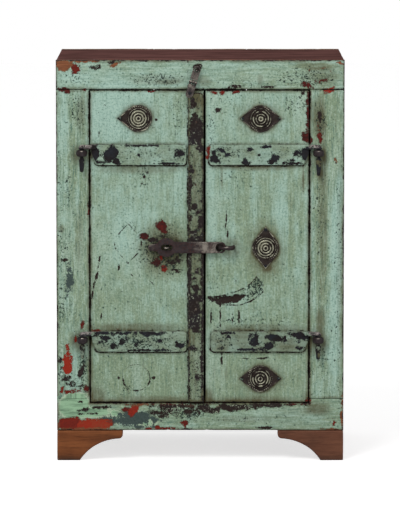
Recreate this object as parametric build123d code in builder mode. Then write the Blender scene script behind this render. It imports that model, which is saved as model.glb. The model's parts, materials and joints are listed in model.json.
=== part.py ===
# A small painted cabinet with two doors, for a desk or a table top.
# The face frame and the doors are wood, the hinges, hasp and rosettes are forged iron.
# Millimetres. X runs to the viewer's right, Y to the back, Z up.
# The origin is under the middle of the whole thing, on the surface that it stands on.

import os
from math import cos, radians, sin

from build123d import *

# ---- carcass
width = 400.0
depth = 250.0  # from the face of the frame to the back of the planks
height = 560.0
foot_height = 42.5
top_thickness = 18.0
side_thickness = 16.0
floor_thickness = 18.0
floor_lip = 5.0  # the floor stands this far above the opening's lower edge, so the doors shut against it
back_thickness = 12.0
back_plank_count = 3
back_plank_gap = 0.8
housing_depth = 5.0  # the groove in each side that the floor is let into

# ---- face frame
frame_thickness = 18.0
top_rail_height = 40.5
bottom_rail_height = 44.5
sill_notch = 6.0  # the bottom rail is cut this much lower between the stiles
stile_left_width = 46.0
stile_right_width = 48.0
tenon_length = 18.0
tenon_thickness = 6.0
tenon_shoulder = 8.0

# ---- shelf
shelf_top = 320.0
shelf_thickness = 14.0
cleat_height = 18.0
cleat_thickness = 12.0
cleat_end_gap = 20.0  # from the cleat's end to the back
shelf_play = 0.5  # at each end of the shelf

# ---- doors
door_stop_gap = 0.5  # from the shut door's back to the floor and the shelf
door_gap_side = 1.2
door_gap_top = 1.5
door_gap_bottom = 1.5
meeting_gap = 2.2  # between the two doors
meeting_x = 6.1  # the middle of that gap, a little to the right of the centre
meeting_bevel = 2.6  # how much narrower each door is at its back edge
strip_width = 22.0
strip_proud = 4.5
strip_top_drop = 2.7  # the strip stops this far below the door's top
strip_corner = 4.0
strip_edge_chamfer = 1.0
strip_nail_count = 5

# ---- hinges: a strap with a pin that drops into an eye
pin_left_offset = 10.0  # from the opening's edge to the pin's axis, across the stile
pin_right_offset = 12.0
pin_stand = 8.4  # from the face of the frame to the pin's axis
pin_radius = 2.5
tail_width = 8.8  # the pin is hammered flat below the eye, so it can't be lifted out
tail_tip_width = 5.4
tail_tip_round = 2.0
tail_thickness = 3.2
tail_gap = 1.0  # from the eye to the flat of the tail
tail_shoulder = 3.0  # over which the pin widens
strap_height = 29.0
strap_thickness = 4.0
strap_start = 13.0  # along the door from the pin's axis
strap_corner = 4.5
strap_heel = 9.0  # the large round corner below the neck
neck_height = 6.5
neck_round = 5.6  # its end is bent over, so its top corner is round from the front
neck_radius = 4.8
neck_root = 24.0  # how far along the door the neck starts to rise
neck_side = 0.4  # where the neck's flanks meet its round end, as shares of that end's radius
neck_face = 0.9
eye_radius = 8.0
eye_height = 10.0
eye_rim_fillet = 3.4
eye_shank_radius = 2.6
eye_shank_start = 4.6  # from the pin's axis back to where the shank begins
eye_shank_cover = 2.0  # the wood left behind the shank's end
eye_play = 0.3  # round the pin, and under the neck
upper_hinge_drop = 89.0  # from the door's top to the middle of the upper straps
lower_hinge_rise = 85.5  # from the door's bottom to the middle of the lower straps
strap_nail_count = 3
strap_nail_inset = 14.0

# ---- hasp
hasp_thickness = 3.0
hasp_gap = 0.8  # from the meeting strip to the hasp's back
hasp_height = 16.5
pivot_inset = 29.1  # from the right door's meeting edge to the middle of the hasp's staple
pivot_loop_radius = 9.0
staple_rod_radius = 2.3
staple_depth = 13.0
hasp_end_clear = 0.8  # the hasp's end stops this far short of the loop's middle
hasp_end_round = 7.0
hasp_hole_radius = 5.6
hasp_oval_offset = 0.7  # the oval's middle lies this far beyond the lock staple
hasp_oval_length = 28.0
hasp_oval_height = 27.0
hasp_tip_length = 26.0  # from the lock staple to the hasp's tip
hasp_tip_height = 8.6
hasp_tip_taper = 2.2
hasp_root_height = 12.0
hasp_root_share = 0.4  # of the oval's length, from its middle to where the tip grows out
hasp_slot_length = 15.0
hasp_slot_height = 7.0
lock_staple_inset = 29.5  # from the meeting strip's left edge to the middle of the lock staple
lock_leg_spacing = 6.0
lock_rod_radius = 1.5
lock_staple_stand = 8.0  # from the hasp's front to the tip of the staple's loop

# ---- small latch at the top of the left door
latch_offset = 3.8  # the knuckle lies this far left of the strip's middle
latch_rise = 10.8  # from the lower edge of the top rail to the knuckle
latch_lean = 17.0  # degrees from upright, towards the right
latch_width = 11.0
latch_thickness = 2.0
latch_leaf_length = 23.0
latch_strap_length = 23.0
latch_eye_distance = 16.5  # from the knuckle to the staple in the rail
latch_knuckle_radius = 2.8
latch_knuckle_width = 3.4
latch_pin_radius = 1.2
latch_pin_overhang = 0.4
latch_play = 0.2
latch_hole_width = 7.2
latch_hole_height = 6.2
latch_hole_offset = 1.0
latch_nail_distance = 16.0
catch_leg_spacing = 3.4
catch_rod_radius = 1.3
catch_stand = 4.3  # from the latch's front to the tip of the staple's loop

# ---- rosettes
rosette_radius = 19.0
rosette_length = 59.0
rosette_thickness = 1.5
rosette_tip_radius = 1.2
rosette_nail_distance = 25.5
boss_radius = 14.2
boss_height = 6.5
boss_rim_height = 1.8
boss_ring_count = 4
boss_ring_step = 1.4  # from each groove out to the crest of its ring
boss_groove = 0.7
boss_crown = 0.8  # how much of the height the rings climb
boss_bead_radius = 1.6
boss_stud_radius = 1.5
boss_stud_depth = 11.0

# ---- nails
nail_radius = 1.1
nail_head_radius = 2.6
nail_head_height = 0.8
nail_depth = 12.0
pin_nail_radius = 0.8
pin_nail_head_radius = 1.7
driven_play = 0.05  # round whatever is driven into wood

# ---- bracket feet
foot_width = 92.0
foot_toe = 32.0
foot_nose_height = 6.5
foot_nose_depth = 5.5
foot_nose_x = 6.0
foot_curve_run = 0.39  # where the hollow curve's middle lies between the toe and the nose
foot_curve_rise = 0.67
side_foot_width = 74.0
back_foot_thickness = 16.0
block_size = 20.0
block_lift = 9.0

# ---- places worked out from the sizes above
door_thickness = frame_thickness - door_stop_gap
hasp_back = strip_proud + hasp_gap
hasp_middle = hasp_back + hasp_thickness / 2
lock_staple_reach = hasp_back + hasp_thickness + lock_staple_stand
catch_reach = strip_proud + latch_thickness + catch_stand
reach = hasp_middle + pivot_loop_radius + staple_rod_radius
front_y = (reach - depth - nail_head_height) / 2
frame_back = front_y + frame_thickness
back_y = front_y + depth
inner_back = back_y - back_thickness
half = width / 2
inner_half = half - side_thickness
rail_bottom = height - top_rail_height
sill_rail_top = foot_height + bottom_rail_height
sill = sill_rail_top - sill_notch
opening_left = stile_left_width - half
opening_right = half - stile_right_width
door_top = rail_bottom - door_gap_top
door_bottom = sill + door_gap_bottom
hasp_z = (door_top + door_bottom) / 2
left_door_edge = opening_left + door_gap_side
left_door_meet = meeting_x - meeting_gap / 2
right_door_edge = opening_right - door_gap_side
right_door_meet = meeting_x + meeting_gap / 2
strip_left = left_door_meet - strip_width
strip_middle = left_door_meet - strip_width / 2
pin_y = front_y - pin_stand
pin_left = opening_left - pin_left_offset
pin_right = opening_right + pin_right_offset
eye_shank_depth = frame_thickness - eye_shank_cover
upper_hinge_z = door_top - upper_hinge_drop
lower_hinge_z = door_bottom + lower_hinge_rise
pivot_x = right_door_meet + pivot_inset
lock_staple_x = strip_left - lock_staple_inset
latch_x = strip_middle - latch_offset
latch_z = rail_bottom + latch_rise
top_bottom = height - top_thickness
floor_top = sill + floor_lip
floor_bottom = floor_top - floor_thickness
shelf_bottom = shelf_top - shelf_thickness
nail_hole = nail_radius + driven_play

# what a left strap's end keeps from the meeting strip, and a right one's from the door's edge
strap_end_gaps = {"upper_left": 2.5, "upper_right": 5.3, "lower_left": 2.0, "lower_right": 7.8}
pin_tails = {"upper_left": 24.0, "upper_right": 29.0, "lower_left": 23.5, "lower_right": 25.0}

# each hinge: side of the cabinet, height, X where its strap ends, how far its pin's tail hangs
hinges = {}
for name, gap in strap_end_gaps.items():
    level = upper_hinge_z if "upper" in name else lower_hinge_z
    if "left" in name:
        hinges[name] = (-1, level, strip_left - gap, pin_tails[name])
    else:
        hinges[name] = (1, level, right_door_meet + gap, pin_tails[name])

left_panel_middle = (left_door_edge + strip_left) / 2
right_panel_middle = (right_door_meet + right_door_edge) / 2
pivot_staple_edge = pivot_x + pivot_loop_radius + staple_rod_radius
middle_rosette_share = 0.42  # of the way from the hasp's staple to the door's outer edge
middle_rosette_x = pivot_staple_edge + middle_rosette_share * (right_door_edge - pivot_staple_edge)

# each rosette: place on the front, turn in degrees, which of its two points are whole
rosettes = {
    "upper_left": (left_panel_middle - 0.6, door_top - 38.4, 0.0, (-1,)),
    "upper_right": (right_panel_middle + 4.9, door_top - 39.0, 0.0, (-1, 1)),
    "middle_right": (middle_rosette_x, hasp_z - 1.2, 90.0, (-1, 1)),
    "lower_right": (right_panel_middle + 4.7, door_bottom + 33.1, 0.0, (-1, 1)),
}

os.makedirs("parts", exist_ok=True)


def save(piece, name):
    piece.label = name
    export_step(piece, f"parts/{name}.step")


def front(stand=0.0):
    # a plane parallel to the front, this far forward of the frame's face, drawn in X and Z
    return Plane.XZ.offset(stand - front_y)


def pin_x(side):
    return pin_left if side < 0 else pin_right


def along_door(side, distance):
    # X at this distance from a hinge pin, along the door
    return pin_x(side) - side * distance


def strap_nails(side, z, end_x):
    first = along_door(side, strap_start + strap_nail_inset)
    last = end_x + side * strap_nail_inset
    step = (last - first) / (strap_nail_count - 1)
    return [(first + n * step, z) for n in range(strap_nail_count)]


def rosette_points(name):
    x, z, turn, whole = rosettes[name]
    return [
        (
            x + point * rosette_nail_distance * cos(radians(turn)),
            z + point * rosette_nail_distance * sin(radians(turn)),
        )
        for point in whole
    ]


def strip_nails():
    step = (door_top - door_bottom) / strip_nail_count
    return [(strip_middle, door_bottom + step * (n + 0.5)) for n in range(strip_nail_count)]


def hinges_on(side):
    return {name: hinge for name, hinge in hinges.items() if hinge[0] == side}


def rosettes_on(side):
    return {name: place for name, place in rosettes.items() if place[0] * side > 0}


latch_plane = Plane(
    origin=(latch_x, front_y - strip_proud, latch_z),
    x_dir=(cos(radians(latch_lean)), 0, -sin(radians(latch_lean))),
    z_dir=(0, -1, 0),
)


def latch_point(distance):
    # X and Z on the latch's middle line, this far above its knuckle
    lean = radians(latch_lean)
    return (latch_x + distance * sin(lean), latch_z + distance * cos(lean))


latch_nail_place = latch_point(-latch_nail_distance)
catch_place = latch_point(latch_eye_distance)
catch_legs = [
    (
        catch_place[0] + end * catch_leg_spacing / 2 * cos(radians(latch_lean)),
        catch_place[1] - end * catch_leg_spacing / 2 * sin(radians(latch_lean)),
    )
    for end in (-1, 1)
]
pivot_legs = [(pivot_x - pivot_loop_radius, hasp_z), (pivot_x + pivot_loop_radius, hasp_z)]
lock_legs = [
    (lock_staple_x - lock_leg_spacing / 2, hasp_z),
    (lock_staple_x + lock_leg_spacing / 2, hasp_z),
]


# ---- carcass boards


def make_board(name, x_span, y_span, z_span):
    sizes = [span[1] - span[0] for span in (x_span, y_span, z_span)]
    middle = tuple((span[0] + span[1]) / 2 for span in (x_span, y_span, z_span))
    with BuildPart() as board:
        with Locations(middle):
            Box(*sizes)
    save(board.part, name)


def back_nail_places():
    # two nails through each plank into the top, the shelf and the floor, and two more into each side
    plank = width / back_plank_count
    rows = (
        height - top_thickness / 2,
        shelf_top - shelf_thickness / 2,
        floor_top - floor_thickness / 2,
    )
    places = []
    for number in range(back_plank_count):
        middle = -half + plank * (number + 0.5)
        for row in rows:
            places += [(middle - plank / 4, row), (middle + plank / 4, row)]
    edge = half - side_thickness / 2
    for row in ((rows[0] + rows[1]) / 2, (rows[1] + rows[2]) / 2):
        places += [(-edge, row), (edge, row)]
    return places


def cut_back_nail_holes():
    with BuildSketch(Plane.XZ.offset(-back_y)) as holes:
        with Locations(*back_nail_places()):
            Circle(nail_hole)
    extrude(holes.sketch, amount=back_thickness + nail_depth + driven_play, mode=Mode.SUBTRACT)


with BuildPart() as top_board:
    with Locations((0, (frame_back + inner_back) / 2, height - top_thickness / 2)):
        Box(width, inner_back - frame_back, top_thickness)
    cut_back_nail_holes()
save(top_board.part, "top_board")

with BuildPart() as floor_board:
    with Locations((0, (frame_back + inner_back) / 2, floor_top - floor_thickness / 2)):
        Box(2 * (inner_half + housing_depth), inner_back - frame_back, floor_thickness)
    cut_back_nail_holes()
save(floor_board.part, "floor_board")

for side, word in ((-1, "left"), (1, "right")):
    with BuildPart() as side_board:
        with Locations(
            (
                side * (half - side_thickness / 2),
                (frame_back + inner_back) / 2,
                (foot_height + top_bottom) / 2,
            )
        ):
            Box(side_thickness, inner_back - frame_back, top_bottom - foot_height)
        with Locations(
            (
                side * (inner_half + housing_depth / 2),
                (frame_back + inner_back) / 2,
                floor_top - floor_thickness / 2,
            )
        ):
            Box(
                housing_depth,
                inner_back - frame_back,
                floor_thickness,
                mode=Mode.SUBTRACT,
            )
        cut_back_nail_holes()
    save(side_board.part, f"side_board_{word}")

plank_pitch = width / back_plank_count
for number in range(back_plank_count):
    with BuildPart() as back_plank:
        with Locations(
            (
                -half + plank_pitch * (number + 0.5),
                back_y - back_thickness / 2,
                (foot_height + height) / 2,
            )
        ):
            Box(plank_pitch - back_plank_gap, back_thickness, height - foot_height)
        cut_back_nail_holes()
    save(back_plank.part, f"back_plank_{number + 1}")

with BuildPart() as back_nails:
    with BuildSketch(Plane.XZ.offset(-back_y)):
        with Locations(*back_nail_places()):
            Circle(nail_head_radius)
    extrude(amount=-nail_head_height)
    with BuildSketch(Plane.XZ.offset(-back_y)):
        with Locations(*back_nail_places()):
            Circle(nail_radius)
    extrude(amount=back_thickness + nail_depth)
save(back_nails.part, "back_nails")

# ---- shelf

with BuildPart() as shelf:
    with Locations((0, (frame_back + inner_back) / 2, shelf_top - shelf_thickness / 2)):
        Box(2 * (inner_half - shelf_play), inner_back - frame_back, shelf_thickness)
    cut_back_nail_holes()
save(shelf.part, "shelf")

for side, word in ((-1, "left"), (1, "right")):
    inner_face = side * inner_half
    make_board(
        f"shelf_cleat_{word}",
        sorted((inner_face, inner_face - side * cleat_thickness)),
        (frame_back, inner_back - cleat_end_gap),
        (shelf_bottom - cleat_height, shelf_bottom),
    )

# ---- face frame


def make_stile(word, x_low, x_high, side):
    middle = (x_low + x_high) / 2
    tenon_width = x_high - x_low - 2 * tenon_shoulder
    with BuildPart() as stile:
        with Locations((middle, front_y + frame_thickness / 2, (sill_rail_top + rail_bottom) / 2)):
            Box(x_high - x_low, frame_thickness, rail_bottom - sill_rail_top)
        for z in (rail_bottom + tenon_length / 2, sill_rail_top - tenon_length / 2):
            with Locations((middle, front_y + frame_thickness / 2, z)):
                Box(tenon_width, tenon_thickness, tenon_length)
        with BuildSketch(front()):
            with Locations(*[(pin_x(side), z + eye_height / 2) for z in (upper_hinge_z, lower_hinge_z)]):
                Circle(eye_shank_radius + driven_play)
        extrude(amount=-eye_shank_depth - driven_play, mode=Mode.SUBTRACT)
    save(stile.part, f"stile_{word}")


make_stile("left", -half, opening_left, -1)
make_stile("right", opening_right, half, 1)


def cut_mortises(z):
    for x_low, x_high in ((-half, opening_left), (opening_right, half)):
        with Locations(((x_low + x_high) / 2, front_y + frame_thickness / 2, z)):
            Box(
                x_high - x_low - 2 * tenon_shoulder,
                tenon_thickness,
                tenon_length,
                mode=Mode.SUBTRACT,
            )


with BuildPart() as top_rail:
    with Locations((0, front_y + frame_thickness / 2, (rail_bottom + height) / 2)):
        Box(width, frame_thickness, top_rail_height)
    cut_mortises(rail_bottom + tenon_length / 2)
    with BuildSketch(front()):
        with Locations(*catch_legs):
            Circle(catch_rod_radius + driven_play)
    extrude(amount=-staple_depth - driven_play, mode=Mode.SUBTRACT)
save(top_rail.part, "top_rail")

with BuildPart() as bottom_rail:
    with BuildSketch(front()):
        with BuildLine():
            Polyline(
                (-half, foot_height),
                (half, foot_height),
                (half, sill_rail_top),
                (opening_right, sill_rail_top),
                (opening_right, sill),
                (opening_left, sill),
                (opening_left, sill_rail_top),
                (-half, sill_rail_top),
                close=True,
            )
        make_face()
    extrude(amount=-frame_thickness)
    cut_mortises(sill_rail_top - tenon_length / 2)
save(bottom_rail.part, "bottom_rail")

# ---- bracket feet


def draw_foot(breadth):
    # the outer edge is upright, the inner edge is a round nose over a hollow curve
    nose_start = (breadth, foot_height - foot_nose_height)
    nose_end = (breadth - foot_nose_x, nose_start[1] - foot_nose_depth)
    with BuildLine() as outline:
        Polyline((foot_toe, 0), (0, 0), (0, foot_height), (breadth, foot_height), nose_start)
        RadiusArc(nose_start, nose_end, foot_nose_x)
        middle = (foot_toe + (nose_end[0] - foot_toe) * foot_curve_run, nose_end[1] * foot_curve_rise)
        ThreePointArc(nose_end, middle, (foot_toe, 0))
    make_face(outline.edges())


def make_foot(name, corner, run, breadth, thickness):
    # run is the way that the foot goes from its corner, and thickness is along run x up
    plane = Plane(origin=corner, x_dir=run, z_dir=Vector(run).cross(Vector(0, 0, 1)))
    with BuildPart() as foot:
        with BuildSketch(plane):
            draw_foot(breadth)
        extrude(amount=thickness)
    save(foot.part, name)


for side, word in ((-1, "left"), (1, "right")):
    edge = side * half
    back_corner_y = back_y - back_foot_thickness
    front_corner = (edge, front_y, 0)
    back_corner = (edge, back_y, 0)
    side_front_corner = (edge, frame_back, 0)
    side_back_corner = (edge, back_corner_y, 0)
    inward = (-side, 0, 0)
    side_board = side * side_thickness
    make_foot(f"foot_front_{word}", front_corner, inward, foot_width, side * frame_thickness)
    make_foot(f"foot_back_{word}", back_corner, inward, foot_width, -side * back_foot_thickness)
    make_foot(f"foot_side_front_{word}", side_front_corner, (0, 1, 0), side_foot_width, -side_board)
    make_foot(f"foot_side_back_{word}", side_back_corner, (0, -1, 0), side_foot_width, side_board)
    block_x = sorted((side * inner_half, side * (inner_half - block_size)))
    make_board(
        f"foot_block_front_{word}",
        block_x,
        (frame_back, frame_back + block_size),
        (block_lift, floor_bottom),
    )
    make_board(
        f"foot_block_back_{word}",
        block_x,
        (back_corner_y - block_size, back_corner_y),
        (block_lift, floor_bottom),
    )

# ---- doors


def draw_door(edge, meet, side):
    # seen from above: the meeting edge slopes back, so both doors can swing
    back = meet + side * meeting_bevel
    with BuildLine() as outline:
        Polyline(
            (edge, front_y),
            (meet, front_y),
            (back, front_y + door_thickness),
            (edge, front_y + door_thickness),
            close=True,
        )
    make_face(outline.edges())


def cut_front_holes(places, radius, drill_depth):
    with BuildSketch(front()) as holes:
        with Locations(*places):
            Circle(radius)
    extrude(holes.sketch, amount=-drill_depth - driven_play, mode=Mode.SUBTRACT)


def cut_hardware_holes(side):
    for _, z, far, _ in hinges_on(side).values():
        cut_front_holes(strap_nails(side, z, far), nail_hole, nail_depth - strap_thickness)
    for name, place in rosettes_on(side).items():
        cut_front_holes([place[:2]], boss_stud_radius + driven_play, boss_stud_depth)
        cut_front_holes(rosette_points(name), pin_nail_radius + driven_play, nail_depth - rosette_thickness)


with BuildPart() as left_door_board:
    with BuildSketch(Plane.XY.offset(door_bottom)):
        draw_door(left_door_edge, left_door_meet, -1)
    extrude(amount=door_top - door_bottom)
    cut_hardware_holes(-1)
    cut_front_holes(lock_legs, lock_rod_radius + driven_play, staple_depth)
    cut_front_holes(strip_nails(), nail_hole, nail_depth - strip_proud)
    cut_front_holes([latch_nail_place], nail_hole, nail_depth - strip_proud - latch_thickness)
save(left_door_board.part, "left_door_board")

with BuildPart() as right_door_board:
    with BuildSketch(Plane.XY.offset(door_bottom)):
        draw_door(right_door_edge, right_door_meet, 1)
    extrude(amount=door_top - door_bottom)
    cut_hardware_holes(1)
    cut_front_holes(pivot_legs, staple_rod_radius + driven_play, staple_depth)
save(right_door_board.part, "right_door_board")

with BuildPart() as meeting_strip:
    with BuildSketch(front()):
        with BuildLine():
            Polyline(
                (strip_left, door_bottom),
                (left_door_meet, door_bottom),
                (left_door_meet, door_top - strip_top_drop - strip_corner),
                (left_door_meet - strip_corner, door_top - strip_top_drop),
                (strip_left, door_top - strip_top_drop),
                close=True,
            )
        make_face()
    extrude(amount=strip_proud)
    front_edges = meeting_strip.faces().sort_by(Axis.Y)[0].edges().filter_by(Axis.Z)
    chamfer(front_edges, strip_edge_chamfer)
    with BuildSketch(front()):
        with Locations(*strip_nails(), latch_nail_place):
            Circle(nail_hole)
    extrude(amount=strip_proud, mode=Mode.SUBTRACT)
save(meeting_strip.part, "meeting_strip")

# ---- nails in the doors


def make_nails(places, seat, radius=nail_radius, head_radius=nail_head_radius):
    # the seat is how far forward of the door's face the heads sit
    with BuildSketch(front(seat)) as heads:
        with Locations(*places):
            Circle(head_radius)
    extrude(heads.sketch, amount=nail_head_height)
    with BuildSketch(front(seat)) as shanks:
        with Locations(*places):
            Circle(radius)
    extrude(shanks.sketch, amount=-nail_depth)


def make_hardware_nails(side):
    for _, z, far, _ in hinges_on(side).values():
        make_nails(strap_nails(side, z, far), strap_thickness)
    for name in rosettes_on(side):
        make_nails(rosette_points(name), rosette_thickness, pin_nail_radius, pin_nail_head_radius)


with BuildPart() as left_door_nails:
    make_hardware_nails(-1)
    make_nails([latch_nail_place], strip_proud + latch_thickness)
save(left_door_nails.part, "left_door_nails")

with BuildPart() as right_door_nails:
    make_hardware_nails(1)
save(right_door_nails.part, "right_door_nails")

with BuildPart() as strip_pins:
    with BuildSketch(front(strip_proud)):
        with Locations(*strip_nails()):
            Circle(nail_radius)
    extrude(amount=-nail_depth)
save(strip_pins.part, "strip_pins")

# ---- hinges


def make_neck(side, top):
    # the strap drawn out to a bar over the pin
    with BuildPart() as neck:
        with BuildSketch(Plane.XY.offset(top - neck_height)):
            with Locations((pin_x(side), pin_y)):
                Circle(neck_radius)
            with BuildLine():
                Polyline(
                    (along_door(side, neck_root), front_y),
                    (along_door(side, neck_root), front_y - strap_thickness),
                    (along_door(side, neck_radius * neck_side), pin_y - neck_radius * neck_face),
                    (along_door(side, -neck_radius * neck_side), pin_y + neck_radius * neck_face),
                    (along_door(side, strap_start), front_y - strap_thickness / 2),
                    (along_door(side, strap_start), front_y),
                    close=True,
                )
            make_face()
        extrude(amount=neck_height)
        with BuildSketch(front()) as arch:
            end_x = along_door(side, -neck_radius)
            with BuildLine():
                Polyline(
                    (end_x, top),
                    (end_x, top - neck_height),
                    (along_door(side, neck_root), top - neck_height),
                    (along_door(side, neck_root), top),
                    close=True,
                )
            make_face()
            outer_corner = arch.vertices().sort_by_distance((end_x, top))[0]
            fillet(outer_corner, neck_round)
        extrude(amount=pin_stand + neck_radius, mode=Mode.INTERSECT)
    return neck.part


def make_strap(name, side, z, far, tail):
    top = z + strap_height / 2
    bottom = z - strap_height / 2
    near = along_door(side, strap_start)
    with BuildPart() as strap:
        with BuildSketch(front()) as outline:
            with BuildLine():
                Polyline((near, bottom), (far, bottom), (far, top), (near, top), close=True)
            make_face()
            heel = outline.vertices().sort_by_distance((near, bottom))[0]
            fillet(heel, strap_heel)
            far_corners = outline.vertices().sort_by_distance((far, z))[:2]
            fillet(far_corners, strap_corner)
        extrude(amount=strap_thickness)
        add(make_neck(side, top))
        tail_top = top - neck_height - eye_play - eye_height - tail_gap
        tail_wide = tail_top - tail_shoulder
        with BuildSketch(Plane.XY.offset(tail_wide)):
            with Locations((pin_x(side), pin_y)):
                Circle(pin_radius)
        extrude(amount=top - tail_wide)
        with BuildSketch(front(pin_stand - tail_thickness / 2)) as flat:
            with BuildLine():
                Polyline(
                    (pin_x(side) - pin_radius, tail_top),
                    (pin_x(side) - tail_width / 2, tail_wide),
                    (pin_x(side) - tail_tip_width / 2, z - tail),
                    (pin_x(side) + tail_tip_width / 2, z - tail),
                    (pin_x(side) + tail_width / 2, tail_wide),
                    (pin_x(side) + pin_radius, tail_top),
                    close=True,
                )
            make_face()
            tip_corners = flat.vertices().group_by(Axis.Z)[0]
            fillet(tip_corners, tail_tip_round)
        extrude(amount=tail_thickness)
        with BuildSketch(front()):
            with Locations(*strap_nails(side, z, far)):
                Circle(nail_hole)
        extrude(amount=strap_thickness, mode=Mode.SUBTRACT)
    save(strap.part, f"hinge_strap_{name}")


def make_eye(name, side, z):
    eye_top = z + strap_height / 2 - neck_height - eye_play
    shank_stand = pin_stand - eye_shank_start
    with BuildPart() as eye:
        with BuildSketch(Plane.XY.offset(eye_top - eye_height)):
            with Locations((pin_x(side), pin_y)):
                Circle(eye_radius)
        extrude(amount=eye_height)
        top_and_bottom = eye.faces().filter_by(Axis.Z)
        fillet(top_and_bottom.edges().filter_by(GeomType.CIRCLE), eye_rim_fillet)
        with BuildSketch(front(shank_stand)):
            with Locations((pin_x(side), z + eye_height / 2)):
                Circle(eye_shank_radius)
        extrude(amount=-shank_stand - eye_shank_depth)
        with BuildSketch(Plane.XY.offset(eye_top - eye_height)):
            with Locations((pin_x(side), pin_y)):
                Circle(pin_radius + eye_play)
        extrude(amount=eye_height, mode=Mode.SUBTRACT)
    save(eye.part, f"hinge_eye_{name}")


for name, (side, z, far, tail) in hinges.items():
    make_strap(name, side, z, far, tail)
    make_eye(name, side, z)

# ---- rosettes


def make_rosette(name):
    x, z, turn, whole = rosettes[name]
    along = (cos(radians(turn)), 0, sin(radians(turn)))
    face = Plane(origin=(x, front_y, z), x_dir=along, z_dir=(0, -1, 0))
    tip = rosette_length / 2 - rosette_tip_radius
    with BuildPart() as plate:
        with BuildSketch(face):
            Circle(rosette_radius)
            with Locations(*[(point * tip, 0) for point in whole]):
                Circle(rosette_tip_radius)
            make_hull()
            Circle(boss_stud_radius + driven_play, mode=Mode.SUBTRACT)
            with Locations(*[(point * rosette_nail_distance, 0) for point in whole]):
                Circle(pin_nail_radius + driven_play, mode=Mode.SUBTRACT)
        extrude(amount=rosette_thickness)
    save(plate.part, f"rosette_plate_{name}")
    seat = Plane(origin=(x, front_y - rosette_thickness, z), x_dir=(1, 0, 0), z_dir=(0, 0, -1))
    # from the rim inwards: the crest of each ring, then the groove inside it
    rings = []
    for number in range(boss_ring_count):
        share = 1 - (number + 1) / (boss_ring_count + 1)
        crest = boss_height * (1 - share) * boss_crown + boss_rim_height
        rings.append((boss_radius * share + boss_ring_step, crest))
        rings.append((boss_radius * share, crest - boss_groove))
    with BuildPart() as boss:
        with BuildSketch(seat):
            with BuildLine():
                Polyline(
                    (0, -boss_stud_depth),
                    (boss_stud_radius, -boss_stud_depth),
                    (boss_stud_radius, 0),
                    (boss_radius, 0),
                    (boss_radius, boss_rim_height),
                    *rings,
                    (boss_bead_radius, boss_height),
                    (0, boss_height),
                    close=True,
                )
            make_face()
        revolve(axis=Axis((x, front_y, z), (0, -1, 0)))
    save(boss.part, f"rosette_boss_{name}")


for name in rosettes:
    make_rosette(name)

# ---- staples, hasp and latch


def make_staple(name, legs, rod_radius, tip_stand, leg_depth):
    # a rod bent to a U, its legs driven in from the front
    (x1, z1), (x2, z2) = legs
    bend = ((x2 - x1) ** 2 + (z2 - z1) ** 2) ** 0.5 / 2
    bend_y = front_y - (tip_stand - rod_radius - bend)
    end_y = front_y + leg_depth
    with BuildPart() as staple:
        with BuildLine():
            Line((x1, end_y, z1), (x1, bend_y, z1))
            ThreePointArc((x1, bend_y, z1), ((x1 + x2) / 2, bend_y - bend, (z1 + z2) / 2), (x2, bend_y, z2))
            Line((x2, bend_y, z2), (x2, end_y, z2))
        with BuildSketch(Plane(origin=(x1, end_y, z1), z_dir=(0, -1, 0))):
            Circle(rod_radius)
        sweep()
    save(staple.part, name)


make_staple("hasp_pivot_staple", pivot_legs, staple_rod_radius, reach, staple_depth)
make_staple("lock_staple", lock_legs, lock_rod_radius, lock_staple_reach, staple_depth)
make_staple("latch_staple", catch_legs, catch_rod_radius, catch_reach, staple_depth)

with BuildPart() as hasp:
    hasp_end_x = pivot_x - hasp_end_clear
    oval_x = lock_staple_x - hasp_oval_offset
    tip_root = oval_x - hasp_oval_length * hasp_root_share
    tip_x = lock_staple_x - hasp_tip_length
    with BuildSketch(front(hasp_back)) as outline:
        with BuildLine():
            Polyline(
                (oval_x, hasp_z - hasp_height / 2),
                (hasp_end_x, hasp_z - hasp_height / 2),
                (hasp_end_x, hasp_z + hasp_height / 2),
                (oval_x, hasp_z + hasp_height / 2),
                close=True,
            )
        make_face()
        end_corners = outline.vertices().group_by(Axis.X)[-1]
        fillet(end_corners, hasp_end_round)
        with Locations((oval_x, hasp_z)):
            Ellipse(hasp_oval_length / 2, hasp_oval_height / 2)
        with BuildLine():
            Polyline(
                (tip_root, hasp_z - hasp_root_height / 2),
                (tip_root, hasp_z + hasp_root_height / 2),
                (tip_x + hasp_tip_taper, hasp_z + hasp_tip_height / 2),
                (tip_x, hasp_z + hasp_tip_height / 4),
                (tip_x, hasp_z - hasp_tip_height / 4),
                (tip_x + hasp_tip_taper, hasp_z - hasp_tip_height / 2),
                close=True,
            )
        make_face()
        with Locations((lock_staple_x, hasp_z)):
            SlotOverall(hasp_slot_length, hasp_slot_height, mode=Mode.SUBTRACT)
        with Locations((pivot_x - pivot_loop_radius, hasp_z)):
            Circle(hasp_hole_radius, mode=Mode.SUBTRACT)
    extrude(amount=hasp_thickness)
save(hasp.part, "hasp")


def draw_latch_plate(start, end, round_end):
    # a flat strip along the latch's middle line, with a round end away from the knuckle
    side_x = latch_width / 2
    with BuildLine() as outline:
        Polyline((-side_x, end), (-side_x, start), (side_x, start), (side_x, end))
        ThreePointArc((side_x, end), (0, round_end), (-side_x, end))
    make_face(outline.edges())


def make_knuckle(x_low, x_high):
    barrel = Plane(
        origin=latch_plane.from_local_coords((x_low, 0, latch_knuckle_radius)),
        x_dir=latch_plane.z_dir,
        z_dir=latch_plane.x_dir,
    )
    with BuildSketch(barrel) as end:
        Circle(latch_knuckle_radius)
    extrude(end.sketch, amount=x_high - x_low)
    return barrel


def bore_knuckle(barrel, length, radius):
    with BuildSketch(barrel) as bore:
        Circle(radius)
    extrude(bore.sketch, amount=length, mode=Mode.SUBTRACT)


plate_start = latch_knuckle_radius + 2 * latch_play
half_knuckle = latch_knuckle_width / 2
leaf_knuckle = half_knuckle + latch_play

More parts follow.
